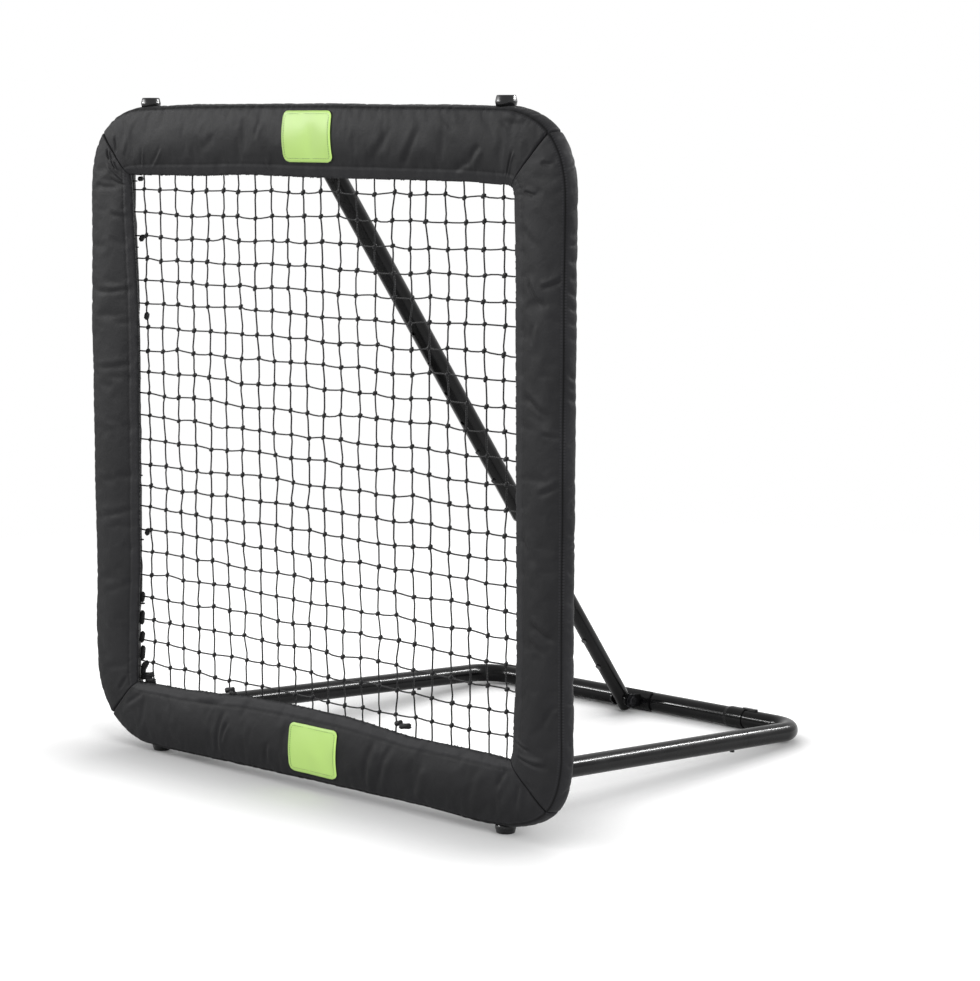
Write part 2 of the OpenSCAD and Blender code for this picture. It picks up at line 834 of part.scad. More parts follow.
module base_end_caps() {
    color(plastic_colour) base_pose() for (s = [-1, 1]) translate([s * base_x, -hinge_nose, 0]) {
        y_cyl(tube_r, -cap_t, -0.1);
        y_cyl(bore_r - 0.1, -0.2, cap_plug);
    }
}

module clip_place(s) {
    base_pose() translate([s * (socket_mouth + clip_len / 2 - clip_over), base_len, 0]) children();
}

module clip_slot(grow, z0, z1) {
    half = clip_len / 2 - clip_w / 2;
    for (x = [-half, half]) translate([x, 0, 0]) z_cyl(clip_w / 2 + grow, z0, z1);
    box([-half, -clip_w / 2 - grow, z0], [half, clip_w / 2 + grow, z1]);
}

module base_corner(s) {
    bend_x = base_x - base_bend_r;
    bend_y = base_len - base_bend_r;
    end_x = socket_mouth - socket_len + 1;
    color(steel_colour) difference() {
        base_pose() mirror([s < 0 ? 1 : 0, 0, 0]) difference() {
            union() {
                translate([base_x, 0, 0]) y_cyl(tube_r, side_joint_y + joint_gap, bend_y);
                translate([bend_x, bend_y, 0]) flat_bend(base_bend_r, tube_r);
                translate([0, base_len, 0]) x_cyl(tube_r, end_x, bend_x);
                translate([base_x, 0, 0]) y_cyl(spigot_r, side_joint_y - spigot_len, side_joint_y + 4);
            }
            translate([base_x, 0, 0]) y_cyl(bore_r, side_joint_y + 4, bend_y);
            translate([bend_x, bend_y, 0]) flat_bend(base_bend_r, bore_r);
            translate([0, base_len, 0]) x_cyl(bore_r, end_x - 1, bend_x);
            translate([base_x, 0, 0])
                y_cyl(spigot_bore_r, side_joint_y - spigot_len - 1, side_joint_y + 5);
        }
        side_button_place(s) z_cyl(button_r + hole_gap, -tube_r - 5, 0);
        clip_place(s) clip_slot(hole_gap, 0, tube_r + 5);
    }
}

module rear_tube() {
    shoulder = socket_mouth - socket_len;
    color(steel_colour) difference() {
        base_pose() translate([0, base_len, 0]) difference() {
            union() {
                x_cyl(tube_r, -shoulder, shoulder);
                for (s = [0, 1]) mirror([s, 0, 0]) {
                    translate([shoulder - flare_len, 0, 0]) rotate([0, 90, 0])
                        cylinder(r1 = tube_r, r2 = socket_r, h = flare_len);
                    x_cyl(socket_r, shoulder, socket_mouth);
                }
            }
            x_cyl(bore_r, -shoulder - 1, shoulder + 1);
            for (s = [0, 1]) mirror([s, 0, 0])
                x_cyl(tube_r + socket_gap, shoulder, socket_mouth + 1);
        }
        for (s = [-1, 1]) clip_place(s) clip_slot(hole_gap, 0, socket_r + 5);
        low_place() rivet_holes();
    }
}

// The spring clip that locks a rear socket: a long button on a leaf inside the corner tube
module rear_clip(s) {
    flange = 1.5;
    low = bore_r - 5;
    color(plastic_colour) clip_place(s) {
        clip_slot(0, low, tube_r + button_out);
        box([-clip_len / 2 - 4, -clip_w / 2 - flange, low - clip_leaf_t],
            [clip_len / 2 + 4, clip_w / 2 + flange, low]);
    }
}

module side_button(s) {
    low = spigot_bore_r - 3;
    color(plastic_colour) side_button_place(s) {
        z_cyl(button_r, -tube_r - button_out, -low);
        z_cyl(button_r + 1.5, -low, -low + button_flange_t);
        box([-leaf_w / 2, -leaf_len + 10, -low + 0.2], [leaf_w / 2, 0, -low + 0.2 + leaf_t]);
    }
}

// ---- strut ----

// Holes in the outer tube: two take the buttons at rest, the rest set the other leans
module outer_holes() {
    last = button_s + hole_pitch;
    count = 2 + floor(strut_travel / hole_pitch);
    for (k = [0 : count - 1])
        translate([0, 0, -last + k * hole_pitch]) y_cyl(button_r + hole_gap, -tube_r - 5, 0);
}

module strut_outer_tube() {
    color(steel_colour) strut_pose() difference() {
        z_cyl(tube_r, -strut_mouth, strut_nose);
        z_cyl(bore_r, -strut_mouth - 1, strut_nose + 1);
        bolt_hole(wide_gap);
        outer_holes();
    }
}

module strut_top_cap() {
    color(plastic_colour) strut_pose() {
        z_cyl(tube_r, strut_nose + 0.1, strut_nose + cap_t);
        z_cyl(bore_r - 0.1, strut_nose - cap_plug, strut_nose + 0.2);
    }
}

// A plastic bush in the mouth of the outer tube, with a lip outside
module strut_bush() {
    color(plastic_colour) strut_pose() difference() {
        union() {
            z_cyl(bore_r - 0.1, -strut_mouth - 0.2, -strut_mouth + bush_len);
            z_cyl(tube_r, -strut_mouth - bush_lip, -strut_mouth - 0.1);
        }
        z_cyl(strut_in_r + run_gap, -strut_mouth - bush_lip - 1, -strut_mouth + bush_len + 1);
    }
}

module strut_inner_tube() {
    bottom = -strut_len - strut_nose;
    color(steel_colour) strut_pose() difference() {
        z_cyl(strut_in_r, bottom, -strut_in_top);
        z_cyl(strut_in_bore_r, bottom - 1, -strut_in_top + 1);
        translate([0, 0, -strut_len]) bolt_hole(narrow_gap);
        for (s = [button_s, button_s + hole_pitch, plug_s, plug_s + hole_pitch])
            translate([0, 0, -s]) y_cyl(button_r + hole_gap, -tube_r - 5, 0);
    }
}

// A plastic guide on the top of the inner tube, which slides in the outer tube
module strut_guide() {
    top = -strut_in_top + 3;
    color(plastic_colour) strut_pose() difference() {
        z_cyl(bore_r - run_gap, top - guide_len, top);
        z_cyl(strut_in_r + 0.05, top - guide_len - 1, -strut_in_top + 0.1);
        z_cyl(strut_in_bore_r, top - guide_len, top + 1);
    }
}

module strut_end_cap() {
    bottom = -strut_len - strut_nose;
    color(plastic_colour) strut_pose() {
        z_cyl(strut_in_r, bottom - cap_t, bottom - 0.1);
        z_cyl(strut_in_bore_r - 0.1, bottom - 0.2, bottom + cap_plug);
    }
}

module strut_hole_plugs() {
    color(plastic_colour) strut_pose() for (s = [plug_s, plug_s + hole_pitch])
        translate([0, 0, -s]) {
            y_cyl(button_r + 1.5, -strut_in_r - plug_out, -strut_in_r - 0.1);
            y_cyl(button_r, -strut_in_r - 0.2, -strut_in_bore_r + 2);
        }
}

module strut_button(s) {
    low = strut_in_bore_r - 2;
    color(plastic_colour) strut_pose() translate([0, 0, -s]) {
        y_cyl(button_r, -tube_r - button_out, -low);
        y_cyl(button_r + 1.5, -low, -low + button_flange_t);
        box([-leaf_w / 2, -low + 0.2, 0], [leaf_w / 2, -low + 0.2 + leaf_t, leaf_len]);
    }
}

// ---- every node ----

place() frame_tube(TOP);  // top_tube
place() frame_tube(RIGHT);  // right_tube
place() frame_tube(BOTTOM);  // bottom_tube
place() frame_tube(LEFT);  // left_tube
place() corner_tube(TOP);  // top_right_corner
place() corner_tube(RIGHT);  // bottom_right_corner
place() corner_tube(BOTTOM);  // bottom_left_corner
place() corner_tube(LEFT);  // top_left_corner
place() frame_screws();
place() foam(TOP);  // foam_top
place() foam(RIGHT);  // foam_right
place() foam(BOTTOM);  // foam_bottom
place() foam(LEFT);  // foam_left
place() cover(TOP);  // cover_top
place() cover(RIGHT);  // cover_right
place() cover(BOTTOM);  // cover_bottom
place() cover(LEFT);  // cover_left
place() label(TOP);  // label_top
place() label(BOTTOM);  // label_bottom
place() net();
place() net_hooks();
place() foot(TOP, -1);  // foot_top_left
place() foot(TOP, 1);  // foot_top_right
place() foot(BOTTOM, 1);  // foot_bottom_left
place() foot(BOTTOM, -1);  // foot_bottom_right
place() foot_screws();
place() hinge_bracket(-1);  // left_hinge_bracket
place() hinge_bracket(1);  // right_hinge_bracket
place() strut_top_bracket();
place() frame_rivets();
place() pivot_bolts();
place() pivot_nuts();
place() pivot_washers();
place() base_side_tube(-1);  // base_left_tube
place() base_side_tube(1);  // base_right_tube
place() base_corner(-1);  // base_left_corner
place() base_corner(1);  // base_right_corner
place() rear_tube();
place() base_end_caps();
place() strut_low_bracket();
place() base_rivets();
place() rear_clip(-1);  // rear_left_clip
place() rear_clip(1);  // rear_right_clip
place() side_button(-1);  // side_left_button
place() side_button(1);  // side_right_button
place() strut_outer_tube();
place() strut_top_cap();
place() strut_bush();
place() strut_inner_tube();
place() strut_guide();
place() strut_end_cap();
place() strut_low_bolt();
place() strut_low_nut();
place() strut_low_washers();
place() strut_hole_plugs();
place() strut_button(button_s);  // strut_upper_button
place() strut_button(button_s + hole_pitch);  // strut_lower_button
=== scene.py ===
# %% [markdown]
# # A pitch back rebounder
#
# The real thing is a square of steel tube wrapped in four padded covers, with a knotted net
# hooked inside it, a U of tube behind that folds at two hinges, and one telescoping strut from
# the top tube down to the rear tube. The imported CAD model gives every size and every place, so
# this script loads it first and then dresses it: cloth over the foam, real cord for the net,
# paint on the steel.

# %% Load the CAD frame
import json
import math
import random

import bmesh
import bpy
import numpy as np
from mathutils import Matrix, Vector, noise
from mathutils.bvhtree import BVHTree


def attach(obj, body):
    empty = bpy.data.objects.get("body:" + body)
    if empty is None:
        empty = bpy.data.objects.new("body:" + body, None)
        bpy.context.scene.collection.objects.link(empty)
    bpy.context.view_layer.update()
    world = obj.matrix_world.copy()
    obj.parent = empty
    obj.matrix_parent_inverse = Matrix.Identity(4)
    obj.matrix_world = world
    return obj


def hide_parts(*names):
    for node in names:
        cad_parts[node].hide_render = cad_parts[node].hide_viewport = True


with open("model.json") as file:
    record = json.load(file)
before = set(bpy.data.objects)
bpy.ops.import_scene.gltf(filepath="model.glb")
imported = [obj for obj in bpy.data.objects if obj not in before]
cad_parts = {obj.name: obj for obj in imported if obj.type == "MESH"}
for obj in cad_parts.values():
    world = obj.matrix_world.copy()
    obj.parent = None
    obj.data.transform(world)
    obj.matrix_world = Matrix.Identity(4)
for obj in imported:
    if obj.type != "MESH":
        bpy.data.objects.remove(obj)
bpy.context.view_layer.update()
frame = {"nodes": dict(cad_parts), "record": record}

# %% [markdown]
# ## Sizes that the pieces share
#
# All lengths are metres. The net hangs in one plane, so each side of the padded frame is built
# lying along X with its outer edge up, and a turn of 0, 90, 180 or 270 degrees about the middle
# of the frame then puts it at the top, right, bottom or left.

# %% Sizes and the four sides
MM = 0.001
NET_Y = -0.44875        # the plane of the net
MID_Z = 0.632           # height of the middle of the padded frame
HALF = 0.620            # half the padded frame's side
BAND = 0.124            # width of a padded side, seen from the front
SIDES = ["top", "right", "bottom", "left"]


def side_place(name):
    """The matrix that puts a piece built as the top side onto the named side."""
    turn = Matrix.Rotation(math.radians(90 * SIDES.index(name)), 4, "Y")
    return Matrix.Translation((0, NET_Y, MID_Z)) @ turn


def adjust(thing, **settings):
    """Sets several properties of a thing."""
    for key, value in settings.items():
        setattr(thing, key, value)


def in_scene(name, data):
    """A new object that shows a mesh, a curve, a lamp or a camera."""
    made = bpy.data.objects.new(name, data)
    bpy.context.scene.collection.objects.link(made)
    return made


def as_shown(work):
    """The mesh of a working object with its modifiers or its round bevel applied. The object goes."""
    made = bpy.data.meshes.new_from_object(work.evaluated_get(bpy.context.evaluated_depsgraph_get()))
    bpy.data.objects.remove(work)
    return made


def mesh_of(name, bm):
    """A new mesh from a bmesh, which is then freed."""
    mesh = bpy.data.meshes.new(name)
    bm.to_mesh(mesh)
    bm.free()
    return mesh


def new_piece(name, bm, body, material):
    """Turns a bmesh into a named piece that rides on a CAD body and has its material."""
    mesh = mesh_of(name, bm)
    mesh.materials.append(material)
    mesh.shade_smooth()
    piece = in_scene(name, mesh)
    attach(piece, body)
    return piece


print("sides:", SIDES)

# %% [markdown]
# ## Camera, floor and light
#
# The rebounder is seen from the front right at about the height of its top edge, with a long
# lens, so its far side is only a little smaller than its near side. It stands on a pale studio
# floor. Glossy black tube shows its shape only through what it reflects, so two narrow soft
# boxes are placed where their reflections run as thin lines along the tubes: one low in front
# on the left for the tubes across the object, and one behind on the right for those that run
# away from the camera. Those two show only as reflections. Four broad boxes light the cloth, the
# strongest from the right and a weaker one from behind, and the pale surroundings fill the rest.

# %% Camera
lens_data = bpy.data.cameras.new("camera")
adjust(lens_data, lens=97.87, sensor_width=36, shift_x=-0.00235, shift_y=-0.0051, clip_end=100)
camera = in_scene("camera", lens_data)
camera.location = (3.4755, -3.7785, 1.2237)
camera.rotation_euler = (math.radians(90 - 7.819), 0, math.radians(42.509))
bpy.context.scene.camera = camera
print("camera", round(lens_data.lens, 1), "mm")

# %% A helper for node materials
def shader(name, colour, roughness, metal=0.0, coat=0.0, coat_rough=0.1, sheen=0.0, specular=0.5):
    """A material with its Principled shader: returns the material, its nodes and the shader."""
    material = bpy.data.materials.new(name)
    material.use_nodes = True
    nodes = material.node_tree.nodes
    main = nodes["Principled BSDF"]
    for key, value in (("Base Color", (*colour, 1)), ("Roughness", roughness), ("Metallic", metal),
                       ("Coat Weight", coat), ("Coat Roughness", coat_rough), ("Sheen Weight", sheen),
                       ("Specular IOR Level", specular)):
        main.inputs[key].default_value = value
    return material, nodes, main


def join(output, socket):
    """Links an output to an input of the same node tree."""
    output.id_data.links.new(output, socket)


def feed(made, **outputs):
    """Links outputs to a node's inputs by their names."""
    for key, output in outputs.items():
        join(output, made.inputs[key.replace("_", " ")])


def node(nodes, kind, settings=None, **inputs):
    """A new node, with its settings and its inputs' values."""
    made = nodes.new(kind)
    adjust(made, **(settings or {}))
    for key, value in inputs.items():
        made.inputs[key.replace("_", " ")].default_value = value
    return made


def tint(nodes, fac, dark, light, low=0.3, high=0.7):
    """Turns a 0 to 1 value into a run of colour from dark to light."""
    ramp = nodes.new("ShaderNodeValToRGB")
    for stop, place, colour in zip(ramp.color_ramp.elements, (low, high), (dark, light)):
        adjust(stop, position=place, color=(*colour, 1))
    feed(ramp, Fac=fac)
    return ramp.outputs["Color"]


def spread(nodes, value, low, high, from_low=0.0, from_high=1.0):
    """Maps a value from one range onto another."""
    ranged = node(nodes, "ShaderNodeMapRange", From_Min=from_low, From_Max=from_high, To_Min=low, To_Max=high)
    feed(ranged, Value=value)
    return ranged.outputs["Result"]


def relief(nodes, main, height, strength, distance):
    """A bump from a height, on the shader's normal."""
    bump = node(nodes, "ShaderNodeBump", Strength=strength, Distance=distance)
    feed(bump, Height=height)
    feed(main, Normal=bump.outputs["Normal"])
    return bump


def maths(nodes, operation, first, second=None):
    """One sum on two values, each of them a socket or a number."""
    made = node(nodes, "ShaderNodeMath", {"operation": operation})
    for socket, value in zip(made.inputs, (first, second)):
        if value is None:
            continue
        if isinstance(value, (int, float)):
            socket.default_value = value
        else:
            join(value, socket)
    return made.outputs[0]


def on_object(nodes, *textures):
    """Makes each texture read Object coordinates, and returns the node that gives them."""
    place = nodes.new("ShaderNodeTexCoord")
    for texture in textures:
        feed(texture, Vector=place.outputs["Object"])
    return place


def weave(nodes, flat, **wave):
    """Crossed waves on the cloth's own map, for its warp and its weft."""
    crossed = []
    for direction in ("X", "Y"):
        made = node(nodes, "ShaderNodeTexWave", {"bands_direction": direction}, **wave)
        feed(made, Vector=flat.outputs["UV"])
        crossed.append(made.outputs["Fac"])
    return maths(nodes, "MULTIPLY", *crossed)


def stored(nodes, name):
    """The value that a piece's points carry under a name."""
    return node(nodes, "ShaderNodeAttribute", {"attribute_name": name}).outputs["Fac"]


def laid_over(nodes, fac, under, colour):
    """A colour over another one, as far as the value goes from 0 to 1."""
    mix = node(nodes, "ShaderNodeMix", {"data_type": "RGBA"})
    mix.inputs[7].default_value = (*colour, 1)
    join(fac, mix.inputs[0])
    join(under, mix.inputs[6])
    return mix.outputs[2]


def seen_rays(nodes):
    """1 for the rays that a viewer sees a thing by: straight, mirrored, or through glass."""
    rays = nodes.new("ShaderNodeLightPath")
    mirrored = maths(nodes, "MAXIMUM", rays.outputs["Is Camera Ray"], rays.outputs["Is Glossy Ray"])
    return maths(nodes, "MAXIMUM", mirrored, rays.outputs["Is Transmission Ray"])


print("material helpers ready")

# %% Floor
def studio_floor():
    """A wide pale floor that keeps the soft shadow; its glow is dimmed near the object by ambient occlusion, a
    painted shadow.
    """
    bm = bmesh.new()
    bmesh.ops.create_grid(bm, x_segments=1, y_segments=1, size=30)
    floor = in_scene("studio_floor", mesh_of("studio_floor", bm))
    material, nodes, main = shader("pale_floor", (0.80, 0.80, 0.80), 0.65, specular=0.15)
    cloudy = node(nodes, "ShaderNodeTexNoise", Scale=1.5, Detail=2.0)
    place = on_object(nodes, cloudy)
    feed(main, Base_Color=tint(nodes, cloudy.outputs["Fac"], (0.795,) * 3, (0.805,) * 3))
    lift = nodes.new("ShaderNodeEmission")
    # The glow is dimmed by ambient occlusion near the object: a painted shadow on top of the lit one.
    near = node(nodes, "ShaderNodeAmbientOcclusion", {"samples": 12}, Distance=0.30)
    glow_outside_painted_shadow = maths(nodes, "POWER", near.outputs["AO"], 7.0)
    glow = maths(nodes, "MULTIPLY", seen_rays(nodes), glow_outside_painted_shadow)
    feed(lift, Strength=maths(nodes, "MULTIPLY", glow, 0.56))
    lifted = nodes.new("ShaderNodeAddShader")
    join(main.outputs[0], lifted.inputs[0])
    join(lift.outputs[0], lifted.inputs[1])
    radius = node(nodes, "ShaderNodeVectorMath", {"operation": "LENGTH"})
    join(place.outputs["Object"], radius.inputs[0])
    far = spread(nodes, radius.outputs["Value"], 0.0, 1.0, 1.2, 3.0)
    clear = nodes.new("ShaderNodeBsdfTransparent")
    blend = nodes.new("ShaderNodeMixShader")
    join(far, blend.inputs[0])
    join(lifted.outputs[0], blend.inputs[1])
    join(clear.outputs[0], blend.inputs[2])
    join(blend.outputs[0], nodes["Material Output"].inputs["Surface"])
    floor.data.materials.append(material)


studio_floor()
print("floor laid")

# %% Soft boxes and surroundings
def soft_box(name, place, aim, width, height, power, only_gloss=False):
    """A rectangular lamp that looks at a point; one for gloss alone shows only as a reflection."""
    lamp = bpy.data.lights.new(name, "AREA")
    adjust(lamp, shape="RECTANGLE", size=width, size_y=height, energy=power)
    box = in_scene(name, lamp)
    box.location = place
    box.rotation_mode = "QUATERNION"
    box.rotation_quaternion = (Vector(aim) - Vector(place)).to_track_quat("-Z", "Y")
    box.visible_diffuse = not only_gloss
    box.visible_glossy = only_gloss


soft_box("front_left_box", (-3.4, -4.2, 2.4), (0, -0.2, 0.5), 2.6, 1.4, 22)
soft_box("right_box", (4.4, -1.6, 2.0), (0, -0.2, 0.6), 2.4, 1.6, 160)
soft_box("rear_left_box", (-2.8, 3.6, 2.6), (0, 0.2, 0.4), 2.4, 1.6, 60)
soft_box("overhead_box", (0.1, -0.3, 4.6), (0, 0, 0), 2.6, 2.2, 16)
soft_box("front_left_strip", (-3.7, -3.5, 2.35), (0, 0, 0.1), 3.4, 0.22, 360, only_gloss=True)
soft_box("rear_right_strip", (2.6, 4.3, 3.1), (0.2, 0.2, 0.1), 3.4, 0.22, 360, only_gloss=True)

world = bpy.data.worlds.new("pale_room")
bpy.context.scene.world = world
world.use_nodes = True
room_nodes = world.node_tree.nodes
room_light = room_nodes["Background"]
room_light.inputs["Color"].default_value = (1, 1, 1, 1)
strength = node(room_nodes, "ShaderNodeMix", {"data_type": "FLOAT"}, A=0.55, B=1.0)
feed(strength, Factor=seen_rays(room_nodes))
feed(room_light, Strength=strength.outputs[0])
bpy.context.scene.view_settings.view_transform = "Standard"

# %% [markdown]
# ## Finishes for the steel, the fasteners and the plastic
#
# The tubes are powder coated: a hard black skin with a clear gloss and a very fine orange peel,
# which only shows as a slight wobble in the reflections. Bolts, rivets and screws are black zinc
# plated, which looks cloudy and a little brushed. The feet, caps and bushes are moulded nylon,
# less deep than the paint and with faint flow marks. Noise read from Object coordinates gives
# each of them its texture, because these parts have no UV map.

# %% Black powder coat and moulded nylon
def hard_skin(name, colour, roughness, grain, patches, tones, gloss, bump, **look):
    """A hard skin that drifts in tone and gloss from patch to patch, under a fine grain."""
    material, nodes, main = shader(name, colour, roughness, **look)
    fine = node(nodes, "ShaderNodeTexNoise", **grain)
    broad = node(nodes, "ShaderNodeTexNoise", **patches)
    on_object(nodes, fine, broad)
    feed(main, Base_Color=tint(nodes, broad.outputs["Fac"], *tones))
    feed(main, Roughness=spread(nodes, broad.outputs["Fac"], *gloss, 0.3, 0.7))
    relief(nodes, main, fine.outputs["Fac"], bump, 0.0001)
    return material


paint = hard_skin("black_powder_coat", (0.004, 0.004, 0.004), 0.30, coat=0.12, coat_rough=0.04, specular=0.08,
                  grain={"Scale": 420.0, "Detail": 2.0, "Roughness": 0.5},
                  patches={"Scale": 14.0, "Detail": 5.0, "Roughness": 0.6},
                  tones=((0.0025, 0.0025, 0.0025), (0.006, 0.006, 0.0064)), gloss=(0.18, 0.34), bump=0.25)
nylon = hard_skin("moulded_nylon", (0.007, 0.007, 0.0075), 0.24, specular=0.35,
                  grain={"Scale": 1400.0, "Detail": 2.0},
                  patches={"Scale": 35.0, "Detail": 3.0, "Distortion": 1.2},
                  tones=((0.005, 0.005, 0.0055), (0.011, 0.011, 0.0115)), gloss=(0.20, 0.34), bump=0.12)
print(paint.name, nylon.name)

# %% Black zinc plate
def black_zinc():
    """Black zinc plate, cloudy in its tone and brushed in its gloss."""
    material, nodes, main = shader("black_zinc", (0.050, 0.050, 0.054), 0.30, metal=1.0)
    cloud = node(nodes, "ShaderNodeTexVoronoi", {"feature": "SMOOTH_F1"}, Scale=260.0)
    brush = node(nodes, "ShaderNodeTexNoise", Scale=900.0, Detail=3.0)
    stretch = node(nodes, "ShaderNodeMapping", Scale=(0.08, 1.0, 1.0))
    on_object(nodes, cloud, stretch)
    feed(brush, Vector=stretch.outputs["Vector"])
    feed(main, Base_Color=tint(nodes, cloud.outputs["Distance"], (0.030, 0.030, 0.033), (0.085, 0.085, 0.090),
                               low=0.1, high=0.9))
    feed(main, Roughness=spread(nodes, brush.outputs["Fac"], 0.26, 0.46, 0.3, 0.7))
    relief(nodes, main, brush.outputs["Fac"], 0.15, 0.0001)
    return material


zinc = black_zinc()
print(zinc.name)

# %% [markdown]
# ## The cloth of the padded covers
#
# The covers are sewn from a charcoal woven nylon with a dull sheen. The weave has to follow the
# cloth round the pad, so it is read from a UV map measured in metres, not from space. Three more
# numbers travel with every point of a cover: how near it is to a seam or to painted shade, how near
# to a row of stitches, and whether it lies on the folded hem. They are stored as attributes while
# the cover is sewn, and the material reads them: seams are darker and carry painted shade in their
# grooves, and painted shade is also laid into the fold along the net, along the hem's edges, along
# the rear flap and round the openings; the hem is painted a little paler, a painted lightening for
# the light that the turned hem catches; and the stitches show as short dashes of thread.

# %% Charcoal nylon
def charcoal_nylon():
    """Woven charcoal cloth that shows its seams, its hem and its stitches, with painted shade at the seams and
    folds and a hem painted paler for the light it catches.
    """
    material, nodes, main = shader("charcoal_nylon", (0.015, 0.015, 0.0163), 0.56,
                                          sheen=0.02, specular=0.10)
    main.inputs["Sheen Roughness"].default_value = 0.45
    flat = node(nodes, "ShaderNodeUVMap", {"uv_map": "cloth"})
    threads = weave(nodes, flat, Scale=260.0, Distortion=0.6, Detail=1.0)
    cloudy = node(nodes, "ShaderNodeTexNoise", Scale=9.0, Detail=4.0, Roughness=0.55)
    crumple = node(nodes, "ShaderNodeTexNoise", Scale=48.0, Detail=3.0, Roughness=0.5, Distortion=0.6)
    on_object(nodes, cloudy, crumple)
    plain = tint(nodes, cloudy.outputs["Fac"], (0.0120, 0.0120, 0.0131), (0.0175, 0.0175, 0.0190))
    # The hem is painted paler: a painted lightening for the light that the turned hem catches.
    paler = laid_over(nodes, stored(nodes, "hem"), plain, (0.026, 0.026, 0.028))
    # The seam value darkens the seams and paints shade into the fold, along the hem's edges, the flap and round
    # the openings.
    seams_and_painted_shade = laid_over(nodes, stored(nodes, "seam"), paler, (0.002, 0.002, 0.002))
    dashes = node(nodes, "ShaderNodeTexWave", {"bands_direction": "X"}, Scale=62.0)
    feed(dashes, Vector=flat.outputs["UV"])
    sewn = maths(nodes, "MULTIPLY", stored(nodes, "stitch"),
                 maths(nodes, "GREATER_THAN", dashes.outputs["Fac"], 0.35))
    feed(main, Base_Color=laid_over(nodes, sewn, seams_and_painted_shade, (0.027, 0.027, 0.029)))
    feed(main, Roughness=spread(nodes, threads, 0.56, 0.72))
    fine = relief(nodes, main, threads, 0.30, 0.0003)
    broad = node(nodes, "ShaderNodeBump", Strength=0.22, Distance=0.004)
    feed(broad, Height=crumple.outputs["Fac"])
    feed(fine, Normal=broad.outputs["Normal"])
    return material


cloth = charcoal_nylon()
print(cloth.name)

# %% [markdown]
# ## Four padded covers
#
# Each side of the frame wears its own cover: a strip of cloth folded round a foam pad 124 mm
# wide and about 50 mm thick. Its front, its outer edge, its back and its inner edge are separate
# panels, sewn along the two outer corners, and its ends are cut on a mitre and sewn to the next
# cover. So a cover is made as a tailor would: a flat grid of cloth whose length is measured along
# the frame's outer edge and whose width once round the pad. The grid is wrapped round the pad,
# its two long edges are joined, and a short cloth simulation blows it up against its seams.
# Wrapping a grid keeps the cloth's own directions, which a remesh would lose, so the weave, the
# seams and the creases can all be placed in them afterwards.

# %% The section of a pad, once round
HEM_ROWS, FACE_ROWS, GUSSET_ROWS, TURN_ROWS, BACK_ROWS = 4, 20, 3, 6, 16
FACE_DEPTH = -27        # where the front face meets its seams, in mm from the net's plane
TURN_R = 22             # radius of the rear outer corner, in mm
SHAPE = {  # in mm: the outer seam, the cloth's furthest reach, the back, and the hem's edges as (across, depth)
    "top": (120, 124, 20, (1.5, -16), (19, -27)),
    "right": (114, 119, 14, (2, -17), (25, -28)),
    "bottom": (118, 124, 20, (1.5, -16), (19, -27)),
    "left": (120, 124, 20, (4, -18), (20, -27)),
}
# The inner wall, from the back's edge round the fold that takes the net's border
FOLD = [(41, 20), (36, 16.5), (30.5, 9), (24.5, 3.4), (27, 2.4), (27, -2.4), (21, -3.4)]


def shares(rows):
    """The shares of a run at which its rows start."""
    return [k / rows for k in range(rows)]


def pad_section(seam, far, rear, edge, hem_end):
    """Points (across, depth) in mm, from the inner front edge over hem, face, gusset and back to the fold."""
    low, low_depth = edge
    start, start_depth = hem_end
    hem = [(low + (start - low) * t, low_depth + (start_depth - low_depth) * t ** 0.8)
           for t in shares(HEM_ROWS)]
    face = [(start + (seam - start) * t,
             start_depth + (FACE_DEPTH - start_depth) * t - 3.5 * (1 - abs(2 * t - 1) ** 3))
            for t in shares(FACE_ROWS)]
    middle = rear - TURN_R
    gusset = [(seam + (far - seam) * math.sin(math.pi / 2 * t), FACE_DEPTH + (middle - FACE_DEPTH) * t)
              for t in shares(GUSSET_ROWS)]
    turn = [(far - TURN_R + TURN_R * math.cos(a), middle + TURN_R * math.sin(a))
            for a in (math.pi / 2 * k / TURN_ROWS for k in range(TURN_ROWS))]
    (wall, wall_depth), (last, last_depth) = FOLD[0], FOLD[-1]
    back = [(far - TURN_R + (wall + TURN_R - far) * t,
             rear + (wall_depth - rear) * t + 4.5 * (1 - abs(2 * t - 1) ** 4))
            for t in shares(BACK_ROWS)]
    lip = [(last + (low - last) * t, last_depth + (low_depth - last_depth) * t ** 1.4)
           for t in (0.3, 0.55, 0.75, 0.9, 1)]
    return hem + face + gusset + turn + back + FOLD + lip


SECTION = {name: pad_section(*SHAPE[name]) for name in SIDES}
ROWS = len(SECTION["top"]) - 1
STEPS = 208
FRONT_ROWS = HEM_ROWS + FACE_ROWS
REAR_ROWS = FRONT_ROWS + GUSSET_ROWS + TURN_ROWS
FOLD_START, HELD_FROM, LIP_START, HELD_TO, LIP_END = -12, -8, -5, -4, -2     # rows, from the end


def round_the_pad(section):
    """Distance once round the section at each row, in mm."""
    run = [0.0]
    for (a, b), (c, d) in zip(section, section[1:]):
        run.append(run[-1] + math.hypot(c - a, d - b))
    return run


GIRTH = round_the_pad(SECTION["top"])
HEM = GIRTH[HEM_ROWS]
print(ROWS, "rows round the pad,", round(GIRTH[-1]), "mm of cloth")

